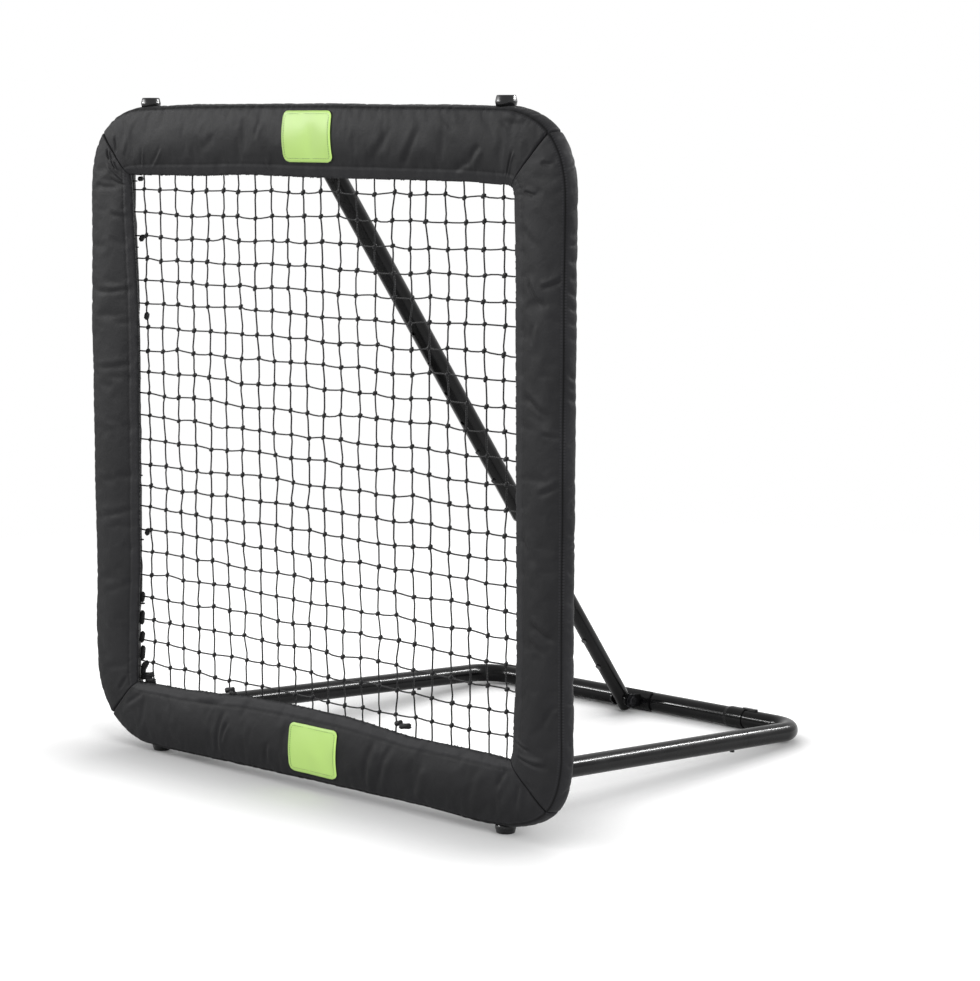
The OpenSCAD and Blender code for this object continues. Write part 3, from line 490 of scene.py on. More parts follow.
# %% Where the cloth lies along a side
CORNER, INNER_EDGE, WIDE = 150.0, 496.0, 124.0      # mm: outer corner radius, net's side, pad's width
ARC_FROM = 470.0        # mm from the middle of a side to the start of its corner
REACH = ARC_FROM + CORNER * math.pi / 4     # mm along the outer edge from the middle to the mitre
FAN_FROM = 380.0        # mm from the middle to where the cloth starts to fan out round the corner
ROLL = 3.0              # mm before a mitre at which the end of a cover starts to roll in
PAST_MITRE = 1.0015     # a cover's end runs 0.9 mm past the mitre, where its rolled edge tucks under
INNER_BOW = {  # mm towards the net at shares of the way along, where each pad bulges or sinks
    "top": [(0, 12), (0.22, 11.5), (0.36, 7.5), (0.52, 10), (0.79, 11), (0.93, 15), (1, 19)],
    "right": [(0, 15), (0.1, 9.5), (0.25, 7), (0.5, 6), (0.75, 4), (0.92, 12), (1, 16)],
    "bottom": [(0, 3), (0.17, 6), (0.27, 5), (0.45, 17), (0.57, 18), (0.65, 16), (0.73, 8), (0.83, 2), (1, -3)],
    "left": [(0, -6), (0.12, 0), (0.3, 11), (0.5, 16), (0.68, 19), (0.88, 8), (1, 0)],
}
OUTER_BOW = {  # mm out from the frame's own outline
    "top": [(0, -9), (0.06, -8), (0.13, -3), (0.25, 0), (0.5, 0), (0.75, -3), (0.92, -6), (1, 1)],
    "right": [(0, 1), (0.1, 0), (0.25, -2), (0.5, -4), (0.75, -6), (0.92, -4), (1, 2)],
    "bottom": [(0, 2), (0.07, -4), (0.16, 0), (0.26, -3), (0.5, -1), (0.6, 1), (0.85, 4), (1, 0)],
    "left": [(0, 0), (0.1, 1), (0.17, 3), (0.25, -2), (0.34, -2), (0.42, 0), (0.5, -1), (0.58, -2), (0.67, 0),
             (0.73, -4), (0.8, -7), (0.86, -8), (0.92, -12), (1, -9)],
}
NEXT_TO = {name: (SIDES[k - 1], SIDES[(k + 1) % 4]) for k, name in enumerate(SIDES)}


def section_point(name, share, row):
    """A place in the section, which near a mitre leans towards the section of the cover beside it."""
    here = SECTION[name][row]
    there = SECTION[NEXT_TO[name][0 if share < 0.5 else 1]][row]
    near = max(0.0, 1 - (1 - abs(2 * share - 1)) * REACH / 110)
    lean = 0.5 * near * near * (3 - 2 * near)
    return here[0] + (there[0] - here[0]) * lean, here[1] + (there[1] - here[1]) * lean


def bow(marks, share):
    """The value at a share of the way along, smoothly between the given marks."""
    for (a, low), (b, high) in zip(marks, marks[1:]):
        if share <= b:
            t = (share - a) / (b - a)
            return low + (high - low) * t * t * (3 - 2 * t)
    return marks[-1][1]


def pad_point(name, share, across, depth):
    """A point of a cover in the top side's place, in metres, from its share along and its section in mm."""
    t = (2 * share - 1) * PAST_MITRE
    run = abs(t) * REACH
    angle = max(0.0, (run - ARC_FROM) / CORNER)
    radius = CORNER + bow(OUTER_BOW[name], share)
    outer = Vector((min(run, ARC_FROM) + radius * math.sin(angle), ARC_FROM + radius * math.cos(angle)))
    u = max(0.0, (run - FAN_FROM) / (REACH - FAN_FROM))
    beside = INNER_BOW[NEXT_TO[name][0 if t < 0 else 1]]
    fan_to = INNER_EDGE - beside[-1 if t < 0 else 0][1] - FAN_FROM
    quick = (REACH - FAN_FROM) / fan_to
    inner = Vector((min(run, FAN_FROM) + fan_to * (quick * u + (1 - quick) * u * u),
                    INNER_EDGE - bow(INNER_BOW[name], share)))
    to_mitre = REACH - run
    closed = math.sqrt(max(0.0, 1 - (1 - min(to_mitre / ROLL, 1)) ** 2))
    full = 0.75 + 0.25 * min(1.0, to_mitre / 90.0)
    if depth < FACE_DEPTH:
        depth = FACE_DEPTH + (depth - FACE_DEPTH) * full
    depth = -2 + (depth + 2) * (0.98 + 0.02 * closed)
    rim = across / WIDE
    rim = rim if rim < 0.5 else 0.5 + (rim - 0.5) * (0.994 + 0.006 * closed)
    spot = inner + (outer - inner) * rim
    return Vector((math.copysign(spot.x, t), depth, spot.y)) * MM


print("cover length along the outer edge", round(2 * REACH), "mm")

# %% Wrap the cloth
def wrap_cover(name):
    """A flat grid of cloth wrapped round one pad, with its places along and round kept on every point."""
    bm = bmesh.new()
    flat = bm.loops.layers.uv.new("cloth")
    along = bm.verts.layers.float.new("along")
    around = bm.verts.layers.float.new("around")
    bmesh.ops.create_grid(bm, x_segments=STEPS, y_segments=ROWS, size=0.5)
    for vert in bm.verts:
        share, row = vert.co.x + 0.5, round((vert.co.y + 0.5) * ROWS)
        vert[along] = (2 * share - 1) * REACH
        vert[around] = GIRTH[row]
        vert.co = pad_point(name, share, *section_point(name, share, row))
    for face in bm.faces:
        for loop in face.loops:
            loop[flat].uv = (loop.vert[along] * MM, loop.vert[around] * MM)
    bmesh.ops.remove_doubles(bm, verts=bm.verts, dist=1e-6)
    return bm


bm = wrap_cover("top")
print("top cover starts with", len(bm.verts), "points and", len(bm.faces), "faces")
bm.free()

# %% [markdown]
# ### Blowing a cover up
#
# Blender's Cloth does what the foam does in the real cover: it pushes the cloth out against the
# seams that hold it. The sewn rows are pinned, the cloth is a little larger than the pad, so it
# has slack to buckle with, and a light pressure fills it. Gravity is off and no point may move
# more than 5 mm, so the pad keeps its measured size.

# %% The cloth simulation
def sewn_here(along, around):
    """How firmly a point is held: 1 on a seam, at a mitre and in the inner fold."""
    if abs(along) > REACH - 4:
        return 1.0
    if min(abs(around - GIRTH[row]) for row in (FRONT_ROWS, REAR_ROWS)) < 0.8:
        return 1.0
    if GIRTH[HELD_FROM] < around < GIRTH[HELD_TO]:
        return 1.0
    if around < 0.8 or around > GIRTH[LIP_END] - 0.8 or abs(around - GIRTH[FOLD_START]) < 0.8:
        return 0.55
    return 0.0


def puff(name, bm, frames=18, cap=0.005):
    """Runs the cloth simulation on a cover's bmesh and moves its points, each by no more than the cap."""
    along, around = bm.verts.layers.float["along"], bm.verts.layers.float["around"]
    mesh = bpy.data.meshes.new("puffing")
    bm.to_mesh(mesh)
    work = in_scene("puffing", mesh)
    held = work.vertex_groups.new(name="held")
    for vert in bm.verts:
        weight = sewn_here(vert[along], vert[around])
        if weight:
            held.add([vert.index], weight, "REPLACE")
    cloth_modifier = work.modifiers.new("cloth", "CLOTH")
    adjust(cloth_modifier.settings, quality=5, mass=0.15, tension_stiffness=14, compression_stiffness=14,
           shear_stiffness=6, bending_stiffness=0.6, vertex_group_mass="held", shrink_min=-0.003,
           use_pressure=True, uniform_pressure_force=0.5)
    cloth_modifier.settings.effector_weights.gravity = 0
    cloth_modifier.collision_settings.use_collision = False
    cloth_modifier.point_cache.frame_end = frames
    for frame_number in range(1, frames + 1):
        bpy.context.scene.frame_set(frame_number)
    filled = work.evaluated_get(bpy.context.evaluated_depsgraph_get()).to_mesh()
    longest = 0.0
    bm.verts.ensure_lookup_table()
    for vert, moved in zip(bm.verts, filled.vertices):
        step = moved.co - vert.co
        longest = max(longest, step.length)
        if step.length > cap:
            step *= cap / step.length
        vert.co += step
    bpy.data.objects.remove(work)
    bpy.context.scene.frame_set(1)
    print(name, "cover filled, longest move", round(longest * 1000, 1), "mm")


# %% [markdown]
# ### Seams, stitches and creases
#
# What a simulation can't know is added afterwards, still in the cloth's own directions. Each seam
# is a narrow sunk line with small puckers across it. The front has a folded hem along the net,
# held by a row of stitches. The few long creases are drawn one by one: a shallow valley with a
# soft ridge beside it, fanning out from the mitres and slanting across the panels where the
# cover has twisted a little on its foam.

# %% Seams and creases
FLAP = 30.0             # mm from the rear flap's stitched edge to the end of the back


def smooth(values, low, high):
    """0 below low, 1 above high, and a soft step between."""
    t = np.clip((values - low) / (high - low), 0, 1)
    return t * t * (3 - 2 * t)


def hill(off, wide):
    """1 where off is 0, falling softly to nothing a few widths away."""
    return np.exp(-(off / wide) ** 2)


def crease(along, around, line, deep, wide):
    """Height in mm of one crease, whose line gives along and around at both ends."""
    a0, b0, a1, b1 = line
    length = math.hypot(a1 - a0, b1 - b0)
    ux, uy = (a1 - a0) / length, (b1 - b0) / length
    s = ((along - a0) * ux + (around - b0) * uy) / length
    off = -(along - a0) * uy + (around - b0) * ux
    off = off + 0.10 * length * np.sin(s * 3.1) * 0.5
    fade = smooth(s, -0.05, 0.25) * (1 - smooth(s, 0.7, 1.08))
    return deep * fade * (0.75 * hill(off - 1.7 * wide, 1.3 * wide) - hill(off, wide))


def puckers(along, around, seam, seed, deep, reach, spacing):
    """Small folds that cross a seam, each with its own place, size and slant."""
    chance = random.Random(seed)
    height = np.zeros_like(along)
    place = -REACH + 20
    while place < REACH - 20:
        wide = chance.uniform(3.0, 6.5)
        size = chance.uniform(0.25, 1.0) * deep
        slant = chance.uniform(-0.5, 0.5)
        far = chance.uniform(0.5, 1.3) * reach
        off = along - place - slant * (around - seam)
        height += -size * hill(off, wide) * np.exp(-np.abs(around - seam) / far)
        place += chance.uniform(0.55, 1.6) * spacing
    return height


CREASES = {  # along and around at its one end, then at its other, depth and width, all in mm
    "top": [
        (-470, 14, -446, 50, -1.5, 3), (-430, 16, -386, 52, -1.7, 3), (-540, 40, -500, 66, 0.9, 6),
        (-572, 60, -548, 92, 2.0, 4), (-112, 100, -128, 66, 1.6, 5), (-114, 26, -100, 4, 1.6, 4),
        (-280, 50, -236, 72, 1.2, 8), (428, 64, 398, 34, 2.6, 6), (400, 36, 358, 18, 1.8, 5),
        (526, 62, 524, 16, 2.4, 4), (148, 26, 220, 92, 1.3, 8), (232, 20, 286, 98, 1.6, 7),
        (470, 100, 540, 108, 1.8, 7), (330, 112, 372, 84, 1.4, 7),
    ],
    "right": [
        (-502, 32, -480, 56, 2.6, 4), (-548, 84, -530, 104, 2.4, 4), (-328, 36, -282, 74, 2.6, 5),
        (-315, 72, -331, 120, 3.0, 4), (-256, 54, -218, 48, 1.8, 6), (-140, 26, -102, 92, 2.2, 6),
        (-74, 74, -70, 120, 2.2, 4), (30, 64, 8, 120, 2.0, 5), (246, 44, 274, 112, 2.8, 6),
        (276, 40, 300, 88, 1.8, 6), (478, 10, 486, 46, 2.4, 4), (520, 18, 502, 92, 2.6, 5),
        (100, 20, 150, 60, 1.3, 9), (-420, 20, -380, 70, 1.2, 8), (380, 116, 420, 80, 1.6, 6),
    ],
    "bottom": [
        (240, 30, 256, 112, 3.0, 6), (224, 50, 242, 88, 2.2, 4), (325, 22, 240, 14, 1.2, 5),
        (112, 70, 122, 108, 1.8, 5), (-164, 22, -138, 116, 2.2, 7), (-208, 20, -174, 110, 1.8, 7),
        (-280, 46, -262, 112, 1.6, 8), (-422, 26, -390, 92, 1.3, 9), (-530, 20, -468, 60, 2.0, 6),
        (-566, 50, -520, 92, 1.8, 6), (500, 22, 560, 64, 1.6, 7), (400, 96, 440, 30, 0.9, 9),
    ],
    "left": [
        (574, 84, 552, 66, 3.6, 4), (560, 62, 538, 40, 3.4, 4), (536, 76, 506, 22, -1.6, 5),
        (500, 60, 492, 14, 1.8, 6), (470, 100, 478, 40, 1.2, 6), (414, 60, 408, 8, 1.3, 6),
        (262, 108, 272, 10, 1.6, 5), (114, 110, 127, 14, 1.4, 6), (-178, 116, -156, 14, 1.6, 6),
        (-20, 100, 10, 30, 0.9, 9), (-330, 90, -300, 24, 1.2, 8), (-560, 60, -520, 26, 1.4, 7),
    ],
}
OPENINGS = {  # in the back, in mm: where along, half the width, from and to across, the depth it is cut to
    "top": [(0, 27, 33, 71, 8), (0, 27, -20, 33, 0), (0, 40, -20, 28, 0)],
    "bottom": [(-420, 27, 35, 71, 8), (420, 27, 35, 71, 8)],
}


def open_back(name, spots):
    """Sinks the cloth behind a bracket, so that its ears come out of an opening with a turned-in edge, and
    returns a ring of painted shade round the opening.
    """
    rim = np.zeros(len(spots))
    for place, half, low, high, depth in OPENINGS.get(name, []):
        aside = np.abs(spots[:, 0] / MM - place)
        across = spots[:, 2] / MM - INNER_EDGE
        behind = spots[:, 1] / MM > max(depth, 2.5)
        within = (aside < half) & (across > low) & (across < high)
        spots[within & behind, 1] = depth * MM
        # A ring of painted shade round the opening's edge.
        ring = (aside < half + 5) & (across > low - 5) & (across < high + 5) & ~within & (spots[:, 1] / MM > 10)
        rim[ring] = 0.8
    return rim


def sculpt(name, mesh):
    """Sinks the seams, raises the hem, and lays the puckers and creases on a cover, along its own normals; it
    also stores the seam value, dark seams with painted shade, and the stitch and hem values.
    """
    count = len(mesh.vertices)
    spots, normals = np.zeros(count * 3), np.zeros(count * 3)
    along, around = np.zeros(count), np.zeros(count)
    mesh.vertices.foreach_get("co", spots)
    mesh.vertices.foreach_get("normal", normals)
    mesh.attributes["along"].data.foreach_get("value", along)
    mesh.attributes["around"].data.foreach_get("value", around)
    seed = SIDES.index(name) * 100
    height = np.zeros(count)
    inside = smooth(REACH - np.abs(along), 2, 14)
    shade, thread = np.zeros(count), np.zeros(count)
    for order, row in enumerate((FRONT_ROWS, REAR_ROWS)):
        seam = GIRTH[row] + 0.5 * np.sin(along / 37 + order)
        off = np.abs(around - seam)
        height -= 2.6 * hill(off, 2.4)
        # The seam lines are darkened: dark seams with painted shade in their grooves.
        shade = np.maximum(shade, hill(off, 1.5))
        height += puckers(along, around, GIRTH[row], seed + order, 1.5, 9, 21) * inside
        thread = np.maximum(thread, hill(off - 5, 0.9))
    bulk = 3.6 if name == "right" else 1.8
    height += puckers(along, around, GIRTH[FRONT_ROWS] + 22, seed + 9, bulk, 16, 25) * inside
    height += 0.8 * (1 - smooth(around, HEM - 1.2, HEM + 0.6)) * (around < HEM + 3)
    height -= 0.8 * hill(around - HEM - 1.2, 1.8)
    height += puckers(along, around, HEM, seed + 7, 0.8, 8, 27) * inside * (around < 80)
    thread = np.maximum(thread, hill(around - HEM + 3, 0.9))
    # Painted shade in the groove where the hem ends, and along the inner edge where the cloth turns away.
    shade = np.maximum(shade, 0.6 * hill(around - HEM - 1.4, 1.1))
    shade = np.maximum(shade, 0.7 * (around < 2.2) * (np.abs(along) < 560))
    flap = GIRTH[REAR_ROWS + BACK_ROWS] - FLAP
    height += 1.2 * smooth(around, flap - 1, flap + 1) * (around < GIRTH[FOLD_START] - 1)
    # Painted shade along the rear flap's stitched edge.
    shade = np.maximum(shade, 0.7 * hill(around - flap, 1.3))
    thread = np.maximum(thread, hill(around - flap - 4, 0.9))
    for *line, deep, wide in CREASES[name]:
        height += crease(along, around, line, deep, wide) * (around < GIRTH[FRONT_ROWS])
    chance = random.Random(seed + 50)
    for _ in range(16):
        start = chance.uniform(-520, 500)
        low = GIRTH[REAR_ROWS] + chance.uniform(4, 60)
        line = (start, low, start + chance.uniform(20, 60), low + chance.uniform(20, 50))
        folded = crease(along, around, line, chance.uniform(0.7, 1.4), chance.uniform(6, 10))
        height += folded * (around > GIRTH[REAR_ROWS])
    spots = spots.reshape(-1, 3) + normals.reshape(-1, 3) * (height * inside)[:, None] * MM
    # Painted shadow in the fold that takes the net's border, and painted shade round the openings.
    shade = np.maximum(shade, 0.9 * (around > GIRTH[FOLD_START] + 2) * (around < GIRTH[LIP_START]))
    shade = np.maximum(shade, open_back(name, spots))
    mesh.vertices.foreach_set("co", spots.ravel())
    # The hem value paints the hem paler: a painted lightening for the light that the turned hem catches.
    hem = (around < HEM).astype(float) * 0.8
    for key, values in (("seam", shade), ("stitch", thread), ("hem", hem)):
        layer = mesh.attributes.new(key, "FLOAT", "POINT")
        layer.data.foreach_set("value", np.clip(values, 0, 1).astype(np.float32))
    mesh.update()


print(sum(len(lines) for lines in CREASES.values()), "drawn creases")

# %% Sew the four covers
def finer(mesh):
    """The same mesh with one level of subdivision applied."""
    work = in_scene("finer", mesh)
    rounder = work.modifiers.new("rounder", "SUBSURF")
    rounder.levels = rounder.render_levels = 1
    return as_shown(work)


def sew_cover(name):
    """Makes one cover: wrapped, closed at its ends, filled, made finer, sewn and put on its side."""
    bm = wrap_cover(name)
    rims = [edge for edge in bm.edges if edge.is_boundary]
    bmesh.ops.holes_fill(bm, edges=rims, sides=0)
    bmesh.ops.recalc_face_normals(bm, faces=bm.faces)
    puff(name, bm)
    mesh = finer(mesh_of(name + "_rough", bm))
    sculpt(name, mesh)
    mesh.transform(side_place(name))
    mesh.name = name + "_pad"
    mesh.materials.clear()
    mesh.materials.append(cloth)
    mesh.shade_smooth()
    pad = in_scene(name + "_pad", mesh)
    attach(pad, "frame")
    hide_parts("cover_" + name, "foam_" + name)
    return pad


pads = {name: sew_cover(name) for name in SIDES}
for name, pad in pads.items():
    print(pad.name, len(pad.data.polygons), "faces")

# %% [markdown]
# ## Bare patches
#
# A rounded patch of bright green cloth is sewn to the middle of the top and of the bottom cover.
# It has an overlocked rim and a line of dark stitches just inside it, and its face is bare. The
# patch starts as one flat square with bevelled corners, is cut into a fine grid, and is then
# pressed back onto the cover behind it, so it takes the pad's own crown and creases.

# %% Green patch cloth
def patch_cloth():
    """Bright green woven cloth with a paler overlocked rim."""
    material, nodes, main = shader("green_patch", (0.41, 0.79, 0.072), 0.55, sheen=0.1, specular=0.25)
    flat = node(nodes, "ShaderNodeUVMap", {"uv_map": "cloth"})
    threads = weave(nodes, flat, Scale=330.0, Distortion=0.4)
    worn = node(nodes, "ShaderNodeTexNoise", Scale=30.0, Detail=4.0)
    on_object(nodes, worn)
    green = tint(nodes, worn.outputs["Fac"], (0.395, 0.775, 0.064), (0.435, 0.805, 0.082))
    feed(main, Base_Color=laid_over(nodes, stored(nodes, "rim"), green, (0.56, 0.84, 0.22)))
    feed(main, Roughness=spread(nodes, threads, 0.44, 0.6))
    relief(nodes, main, threads, 0.25, 0.0002)
    return material


patch_green = patch_cloth()
print(patch_green.name)

# %% Thread for the stitches
def dark_thread():
    """Twisted dark green thread."""
    material, nodes, main = shader("dark_thread", (0.10, 0.22, 0.04), 0.55, sheen=0.2)
    twist = node(nodes, "ShaderNodeTexWave", {"bands_direction": "DIAGONAL"}, Scale=500.0)
    on_object(nodes, twist)
    feed(main, Base_Color=tint(nodes, twist.outputs["Fac"], (0.07, 0.16, 0.03), (0.13, 0.27, 0.06)))
    relief(nodes, main, twist.outputs["Fac"], 0.4, 0.0002)
    return material


thread = dark_thread()
print(thread.name)

# %% A helper for cord and thread
BEAD = (0.15, 0.8, 1.0, 0.8, 0.15)
BEAD_AT = (-1, -0.7, 0, 0.7, 1)


def bead(middle, reach):
    """The points of a short bead of cord, from the middle out to both ends."""
    return [middle + reach * t for t in BEAD_AT]


def cord_mesh(name, runs, radius, closed=False, shape=None):
    """A mesh of round cord along each run of points; shape thins or thickens it from point to point."""
    curve = bpy.data.curves.new(name, "CURVE")
    adjust(curve, dimensions="3D", bevel_depth=radius, bevel_resolution=1, use_fill_caps=True)
    for run in runs:
        line = curve.splines.new("POLY")
        line.points.add(len(run) - 1)
        for number, spot in enumerate(run):
            line.points[number].co = (*spot, 1)
            line.points[number].radius = shape[number] if shape else 1
        line.use_cyclic_u = closed
    return as_shown(in_scene(name, curve))


print("a bead has", len(BEAD), "points")

# %% Cut and press the patches
PATCH_W, PATCH_H, PATCH_ROUND = 0.124, 0.090, 0.012
PATCH_SHIFT, PATCH_RISE = 0.007, 0.004      # to the right of the cover's middle, and up
PATCH_GRID = 0.0045     # distance between the cuts that let the patch bend
PATCH_LIFT, STITCH_LIFT = 0.0020, 0.0026    # how far in front of the cover they lie


def rounded_patch():
    """A flat patch with round corners in the XZ plane, cut into a fine grid."""
    bm = bmesh.new()
    bmesh.ops.create_grid(bm, x_segments=1, y_segments=1, size=0.5,
                          matrix=Matrix.Diagonal((PATCH_W, PATCH_H, 1, 1)))
    bmesh.ops.bevel(bm, geom=list(bm.verts), offset=PATCH_ROUND, segments=6, profile=0.5,
                    affect="VERTICES", material=-1)
    bmesh.ops.inset_region(bm, faces=bm.faces[:], thickness=0.0022)
    rim = bm.verts.layers.float.new("rim")
    for vert in bm.verts:
        if vert.is_boundary:
            vert[rim] = 1.0
    for cuts, way in ((15, Vector((1, 0, 0))), (10, Vector((0, 1, 0)))):
        for k in range(-cuts, cuts + 1):
            bmesh.ops.bisect_plane(bm, geom=bm.verts[:] + bm.edges[:] + bm.faces[:],
                                   plane_co=way * (k * PATCH_GRID), plane_no=way)
    flat = bm.loops.layers.uv.new("cloth")
    for face in bm.faces:
        for loop in face.loops:
            loop[flat].uv = loop.vert.co.xy
    bmesh.ops.rotate(bm, verts=bm.verts, matrix=Matrix.Rotation(math.radians(90), 3, "X"))
    return bm


def front_of(pad):
    """A search tree over a pad, to find its front face."""
    return BVHTree.FromPolygons([v.co for v in pad.data.vertices], [p.vertices for p in pad.data.polygons])


def face_at(tree, x, z):
    """The point of a pad's front face that is seen at x and z, or None."""
    return tree.ray_cast(Vector((x, NET_Y - 0.2, z)), Vector((0, 1, 0)))[0]


def press_on(bm, tree, lift):
    """Moves each point straight back onto the pad, then forward by its lift; returns how many landed."""
    landed = 0
    for vert in bm.verts:
        hit = face_at(tree, vert.co.x, vert.co.z)
        if hit is not None:
            vert.co.y = hit.y - lift
            landed += 1
    return landed


def stitch_line(width, height, radius, pitch):
    """Places and directions of stitches round a rounded rectangle, clockwise from its upper left."""
    spots = []
    corner = math.pi * radius / 2
    run = 2 * (width - 2 * radius) + 2 * (height - 2 * radius) + 4 * corner
    count = int(run / pitch)
    for k in range(count):
        s = k * run / count
        for quarter in range(4):
            length, across = (width, height) if quarter % 2 == 0 else (height, width)
            turn = -math.pi / 2 * quarter
            ahead = Vector((math.cos(turn), math.sin(turn)))
            outward = Vector((-ahead.y, ahead.x))
            half = length / 2 - radius
            if s < 2 * half:
                spots.append((outward * (across / 2) + ahead * (s - half), turn))
                break
            s -= 2 * half
            if s < corner:
                bend = s / radius
                spots.append((outward * (across / 2 - radius + radius * math.cos(bend))
                              + ahead * (half + radius * math.sin(bend)), turn - bend))
                break
            s -= corner
    return spots


def sew_patch(side):
    """Presses a patch onto the middle of a cover and lays a ring of stitches on it."""
    tree = front_of(pads[side])
    centre = side_place(side) @ Vector((0, 0, HALF - BAND / 2))
    centre += Vector((PATCH_SHIFT, 0, PATCH_RISE))
    bm = rounded_patch()
    bmesh.ops.translate(bm, verts=bm.verts, vec=centre)
    landed = press_on(bm, tree, PATCH_LIFT)
    for _ in range(12):
        bmesh.ops.smooth_vert(bm, verts=bm.verts, factor=0.5,
                              use_axis_x=False, use_axis_y=True, use_axis_z=False)
    rim = bm.verts.layers.float["rim"]
    for vert in bm.verts:
        if vert[rim] > 0.5:
            vert.co.y += 0.0008
    patch = new_piece(side + "_patch", bm, "frame", patch_green)
    thick = patch.modifiers.new("thick", "SOLIDIFY")
    thick.thickness, thick.offset = 0.0012, 1.0
    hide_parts("label_" + side)
    runs = []
    for spot, turn in stitch_line(PATCH_W - 0.011, PATCH_H - 0.011, PATCH_ROUND - 0.005, 0.0042):
        x, z = centre.x + spot.x, centre.z + spot.y
        middle = Vector((x, face_at(tree, x, z).y - STITCH_LIFT, z))
        reach = Vector((math.cos(turn), 0, math.sin(turn))) * 0.0015
        runs.append(bead(middle, reach))
    stitches = bmesh.new()
    stitches.from_mesh(cord_mesh("stitches", runs, 0.0005, shape=BEAD))
    new_piece(side + "_patch_stitches", stitches, "frame", thread)
    print(side, "patch pressed on at", landed, "points")


for side in ("top", "bottom"):
    sew_patch(side)

# %% [markdown]
# ## The knotted net
#
# The net is knotted from black cord in square meshes of 44 mm, 22 cords each way. Every
# crossing is a tight knot that sits a little askew, and between knots no length of cord is quite
# straight, so each cord is a curve through slightly shifted knots with a small bow in every mesh.
# A curve with a round bevel is the plain way to make cord. The knots are all the same two crossed
# beads, turned and sized by chance, with few faces because there are 484 of them. A thicker cord
# runs round the border, and a few lumps show where ties hold it to the frame.

# %% Net cord
def net_cord():
    """Twisted black cord with a little fuzz."""
    material, nodes, main = shader("net_cord", (0.006, 0.006, 0.0065), 0.6, sheen=0.05, specular=0.2)
    twist = node(nodes, "ShaderNodeTexWave", {"bands_direction": "DIAGONAL"}, Scale=150.0, Distortion=0.5)
    fuzz = node(nodes, "ShaderNodeTexNoise", Scale=500.0, Detail=3.0)
    on_object(nodes, twist, fuzz)
    feed(main, Base_Color=tint(nodes, fuzz.outputs["Fac"], (0.004, 0.004, 0.0045), (0.010, 0.010, 0.011)))
    feed(main, Roughness=spread(nodes, twist.outputs["Fac"], 0.45, 0.7))
    relief(nodes, main, twist.outputs["Fac"], 0.6, 0.0006)
    return material


cord = net_cord()
print(cord.name)

# %% Tie the net
MESHES = 21             # between the first and the last cord, each way
PITCH = 0.0440
CORD_R, BORDER_R, KNOT_R, TIE_R = 0.0015, 0.0028, 0.0036, 0.0052
EDGE, LEFT_EDGE = 0.506, 0.516      # how far the cords run from the middle, and on the left
LEFT_BORDER = 0.5215    # from the middle to the left border cord, before it follows the cover's bow


def knot_place(i, j):
    """Where the knot of upright cord i and level cord j sits, in metres across and up from the middle."""
    slip = noise.noise_vector(Vector((i * 0.37, j * 0.37, 3.1))) * 0.0060
    jolt = noise.noise_vector(Vector((i * 7.7, j * 9.1, 5.5))) * 0.0055
    pull = 0.009 * (i / MESHES) * (1 - j / MESHES)
    return Vector(((i - MESHES / 2) * PITCH - 0.0125 + pull + slip.x + jolt.x,
                   (j - MESHES / 2) * PITCH - 0.0015 + slip.y + jolt.y))


def cord_run(index, upright):
    """The points of one cord: its knots, and two points between each pair that bow a little."""
    knots = [knot_place(index, k) if upright else knot_place(k, index) for k in range(MESHES + 1)]
    ends = [knots[0].copy(), knots[-1].copy()]
    axis = 1 if upright else 0
    ends[0][axis], ends[1][axis] = -EDGE if upright else -LEFT_EDGE, EDGE
    stops = [ends[0], *knots, ends[1]]
    run = []
    for number, (a, b) in enumerate(zip(stops, stops[1:])):
        sag = noise.noise(Vector((index * 3.3, number * 2.9, 1.0 if upright else 8.0))) * 0.0042
        bias = -0.0008 if not upright else 0.0
        side = Vector((1, 0)) if upright else Vector((0, 1))
        for t in (0.0, 0.3, 0.7):
            middle = a.lerp(b, t) + side * ((sag + bias) * 4 * t * (1 - t))
            depth = 0.0008 * math.sin(7 * t + index)
            run.append(Vector((middle.x, NET_Y + depth, MID_Z + middle.y)))
    run.append(Vector((stops[-1].x, NET_Y, MID_Z + stops[-1].y)))
    return run


def net_knots():
    """Two short crossed beads of cord at every crossing, turned and sized by chance."""
    chance = random.Random(11)
    beads = []
    for i in range(MESHES + 1):
        for j in range(MESHES + 1):
            spot = knot_place(i, j)
            centre = Vector((spot.x, NET_Y, MID_Z + spot.y))
            slope = math.radians(45 + chance.uniform(-18, 18))
            size = chance.uniform(0.85, 1.15)
            for turn, long in ((slope, 0.0060 * size), (slope + 1.5, 0.0042 * size)):
                reach = Vector((math.cos(turn), 0, math.sin(turn))) * long
                beads.append(bead(centre, reach))
    return beads


TIES = [  # (across, up, slant in degrees, size) of each tie on the net's edge, in mm from the middle
    (-489, 479, 10, 1.0), (-488, 366, 50, 1.3), (-478, 217, 80, 1.3), (-487, -204, 70, 1.3),
    (-506, -335, 85, 1.8), (-508, -376, 88, 2.4), (-509, -415, 80, 2.0), (-508, -446, 88, 2.4),
    (-500, -470, 60, 1.8), (-506, -478, 85, 2.2), (-498, -494, 4, 2.8), (-486, -499, 4, 2.4),
    (-490, -488, 10, 2.4), (-254, -484, 12, 2.2), (-244, -489, -20, 1.8), (212, -482, 8, 2.4),
    (196, -479, 20, 1.6),
]


def net_ties():
    """The lumps of the ties along the left and the lower edge of the net."""
    lumps = []
    for across, up, slant, size in TIES:
        centre = Vector((across * MM, NET_Y, MID_Z + up * MM))
        for turn in (slant - 9, slant + 9):
            reach = Vector((math.cos(math.radians(turn)), 0.1, math.sin(math.radians(turn)))) * 0.0060 * size
            lumps.append(bead(centre, reach))
    return lumps


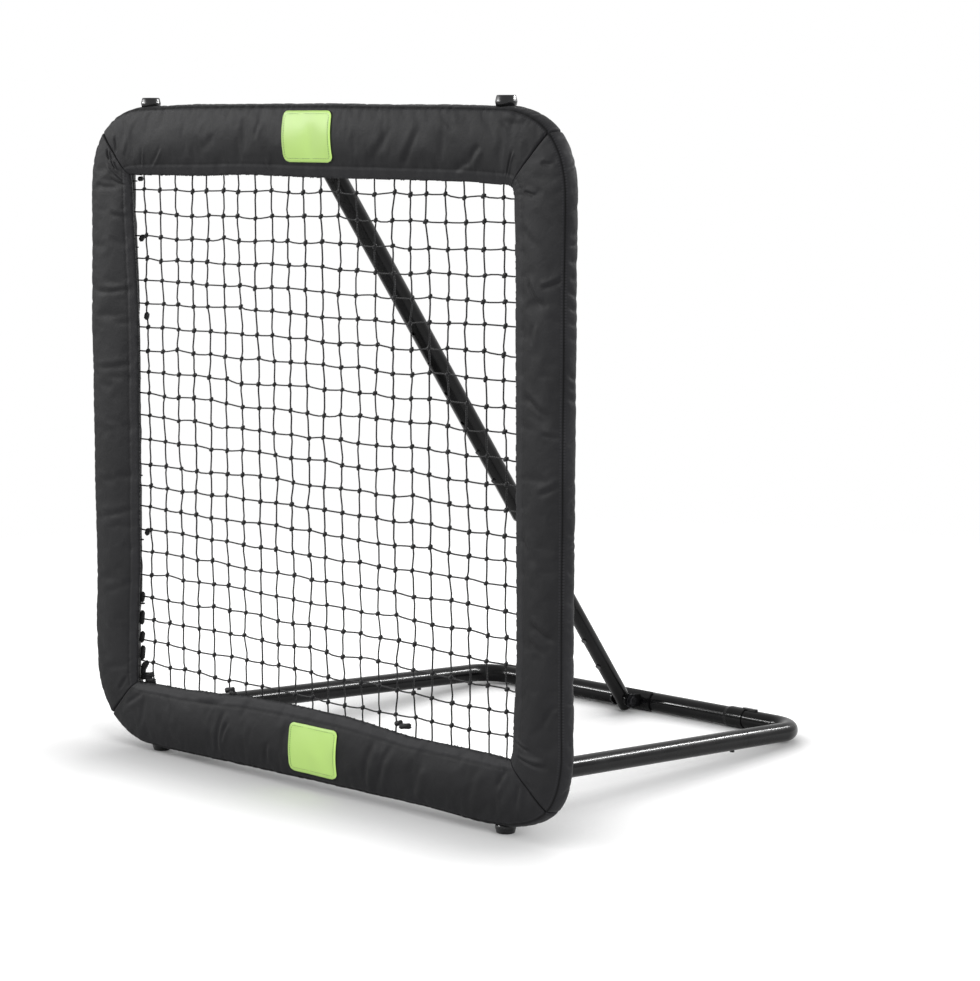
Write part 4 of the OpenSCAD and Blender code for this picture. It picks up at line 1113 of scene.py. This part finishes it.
def tie_net():
    """One piece with the cords both ways, the border, the knots and the ties."""
    runs = [cord_run(index, upright) for upright in (True, False) for index in range(MESHES + 1)]
    left = [bow(INNER_BOW["left"], k / 12) * MM - LEFT_BORDER for k in range(13)]
    border = [Vector((x, NET_Y, MID_Z + (k / 6 - 1) * EDGE)) for k, x in enumerate(left)]
    border += [Vector((EDGE, NET_Y, MID_Z + EDGE)), Vector((EDGE, NET_Y, MID_Z - EDGE))]
    bm = bmesh.new()
    for mesh in (cord_mesh("net_runs", runs, CORD_R), cord_mesh("net_border", [border], BORDER_R, closed=True),
                 cord_mesh("net_knots", net_knots(), KNOT_R, shape=BEAD),
                 cord_mesh("net_ties", net_ties(), TIE_R, shape=BEAD)):
        bm.from_mesh(mesh)
        bpy.data.meshes.remove(mesh)
    net = new_piece("knotted_net", bm, "frame", cord)
    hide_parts("net")
    return net


net = tie_net()
print("net has", len(net.data.polygons), "faces")

# %% [markdown]
# ## The four feet
#
# A foot is a moulded nylon cap, wider where it meets the cover than at its flat end, with
# a well in the end for the head of its screw. It is turned, so it starts as one half outline in a
# plane and is spun once round its own axis, and the two rims get a small bevel that catches the
# light, because no moulded edge is ever quite sharp.

# %% Turn the feet
FOOT_X = 0.455          # from the middle of the frame
RIM_LEVELS = (0.001, 0.012)         # the heights of the two rims that get a bevel
FOOT_OUTLINE = [(3.3, -7.0), (17.0, -7.0), (19.0, 1.0), (16.2, 12.0), (7.0, 12.0), (7.0, 6.0), (3.3, 6.0)]


def turned_foot():
    """A foot along +Z with its flat end up, from a half outline in mm."""
    bm = bmesh.new()
    ring = [bm.verts.new((x * MM, 0, z * MM)) for x, z in FOOT_OUTLINE]
    edges = [bm.edges.new(pair) for pair in zip(ring, ring[1:] + ring[:1])]
    bmesh.ops.spin(bm, geom=ring + edges, cent=(0, 0, 0), axis=(0, 0, 1), angle=math.tau, steps=48,
                   use_merge=True)
    bmesh.ops.remove_doubles(bm, verts=bm.verts, dist=1e-6)
    rims = [edge for edge in bm.edges
            if all(any(abs(v.co.z - level) < 1e-5 for level in RIM_LEVELS) for v in edge.verts)
            and abs(edge.verts[0].co.z - edge.verts[1].co.z) < 1e-6
            and abs(edge.verts[0].co.xy.length - edge.verts[1].co.xy.length) < 1e-6]
    bmesh.ops.bevel(bm, geom=rims, offset=0.0016, segments=4, profile=0.5, affect="EDGES", material=-1)
    bmesh.ops.recalc_face_normals(bm, faces=bm.faces)
    return bm


def fit_foot(node_name, side, x):
    """Puts a turned foot on a side of the frame, in place of its CAD node."""
    bm = turned_foot()
    place = side_place(side) @ Matrix.Translation((x, 0, HALF))
    bmesh.ops.transform(bm, matrix=place, verts=bm.verts)
    foot = new_piece(node_name + "_cap", bm, "frame", nylon)
    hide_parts(node_name)
    return foot


for side, left in (("top", -FOOT_X), ("bottom", FOOT_X)):
    for hand, x in (("left", left), ("right", -left)):
        foot = fit_foot(f"foot_{side}_{hand}", side, x)
        print(foot.name, len(foot.data.polygons), "faces")

# %% Paint the CAD nodes that stay
for name, solid in frame["nodes"].items():
    kind = next((s["material_slot"] for s in frame["record"]["subparts"] if s["node"] == name), "")
    finish = {"black_steel": paint, "zinc": zinc, "black_plastic": nylon}.get(kind)
    if name == "net_hooks":
        finish = paint
    if finish is not None:
        for material_slot in solid.material_slots:
            material_slot.material = finish
print("painted", len(frame["nodes"]), "CAD nodes")
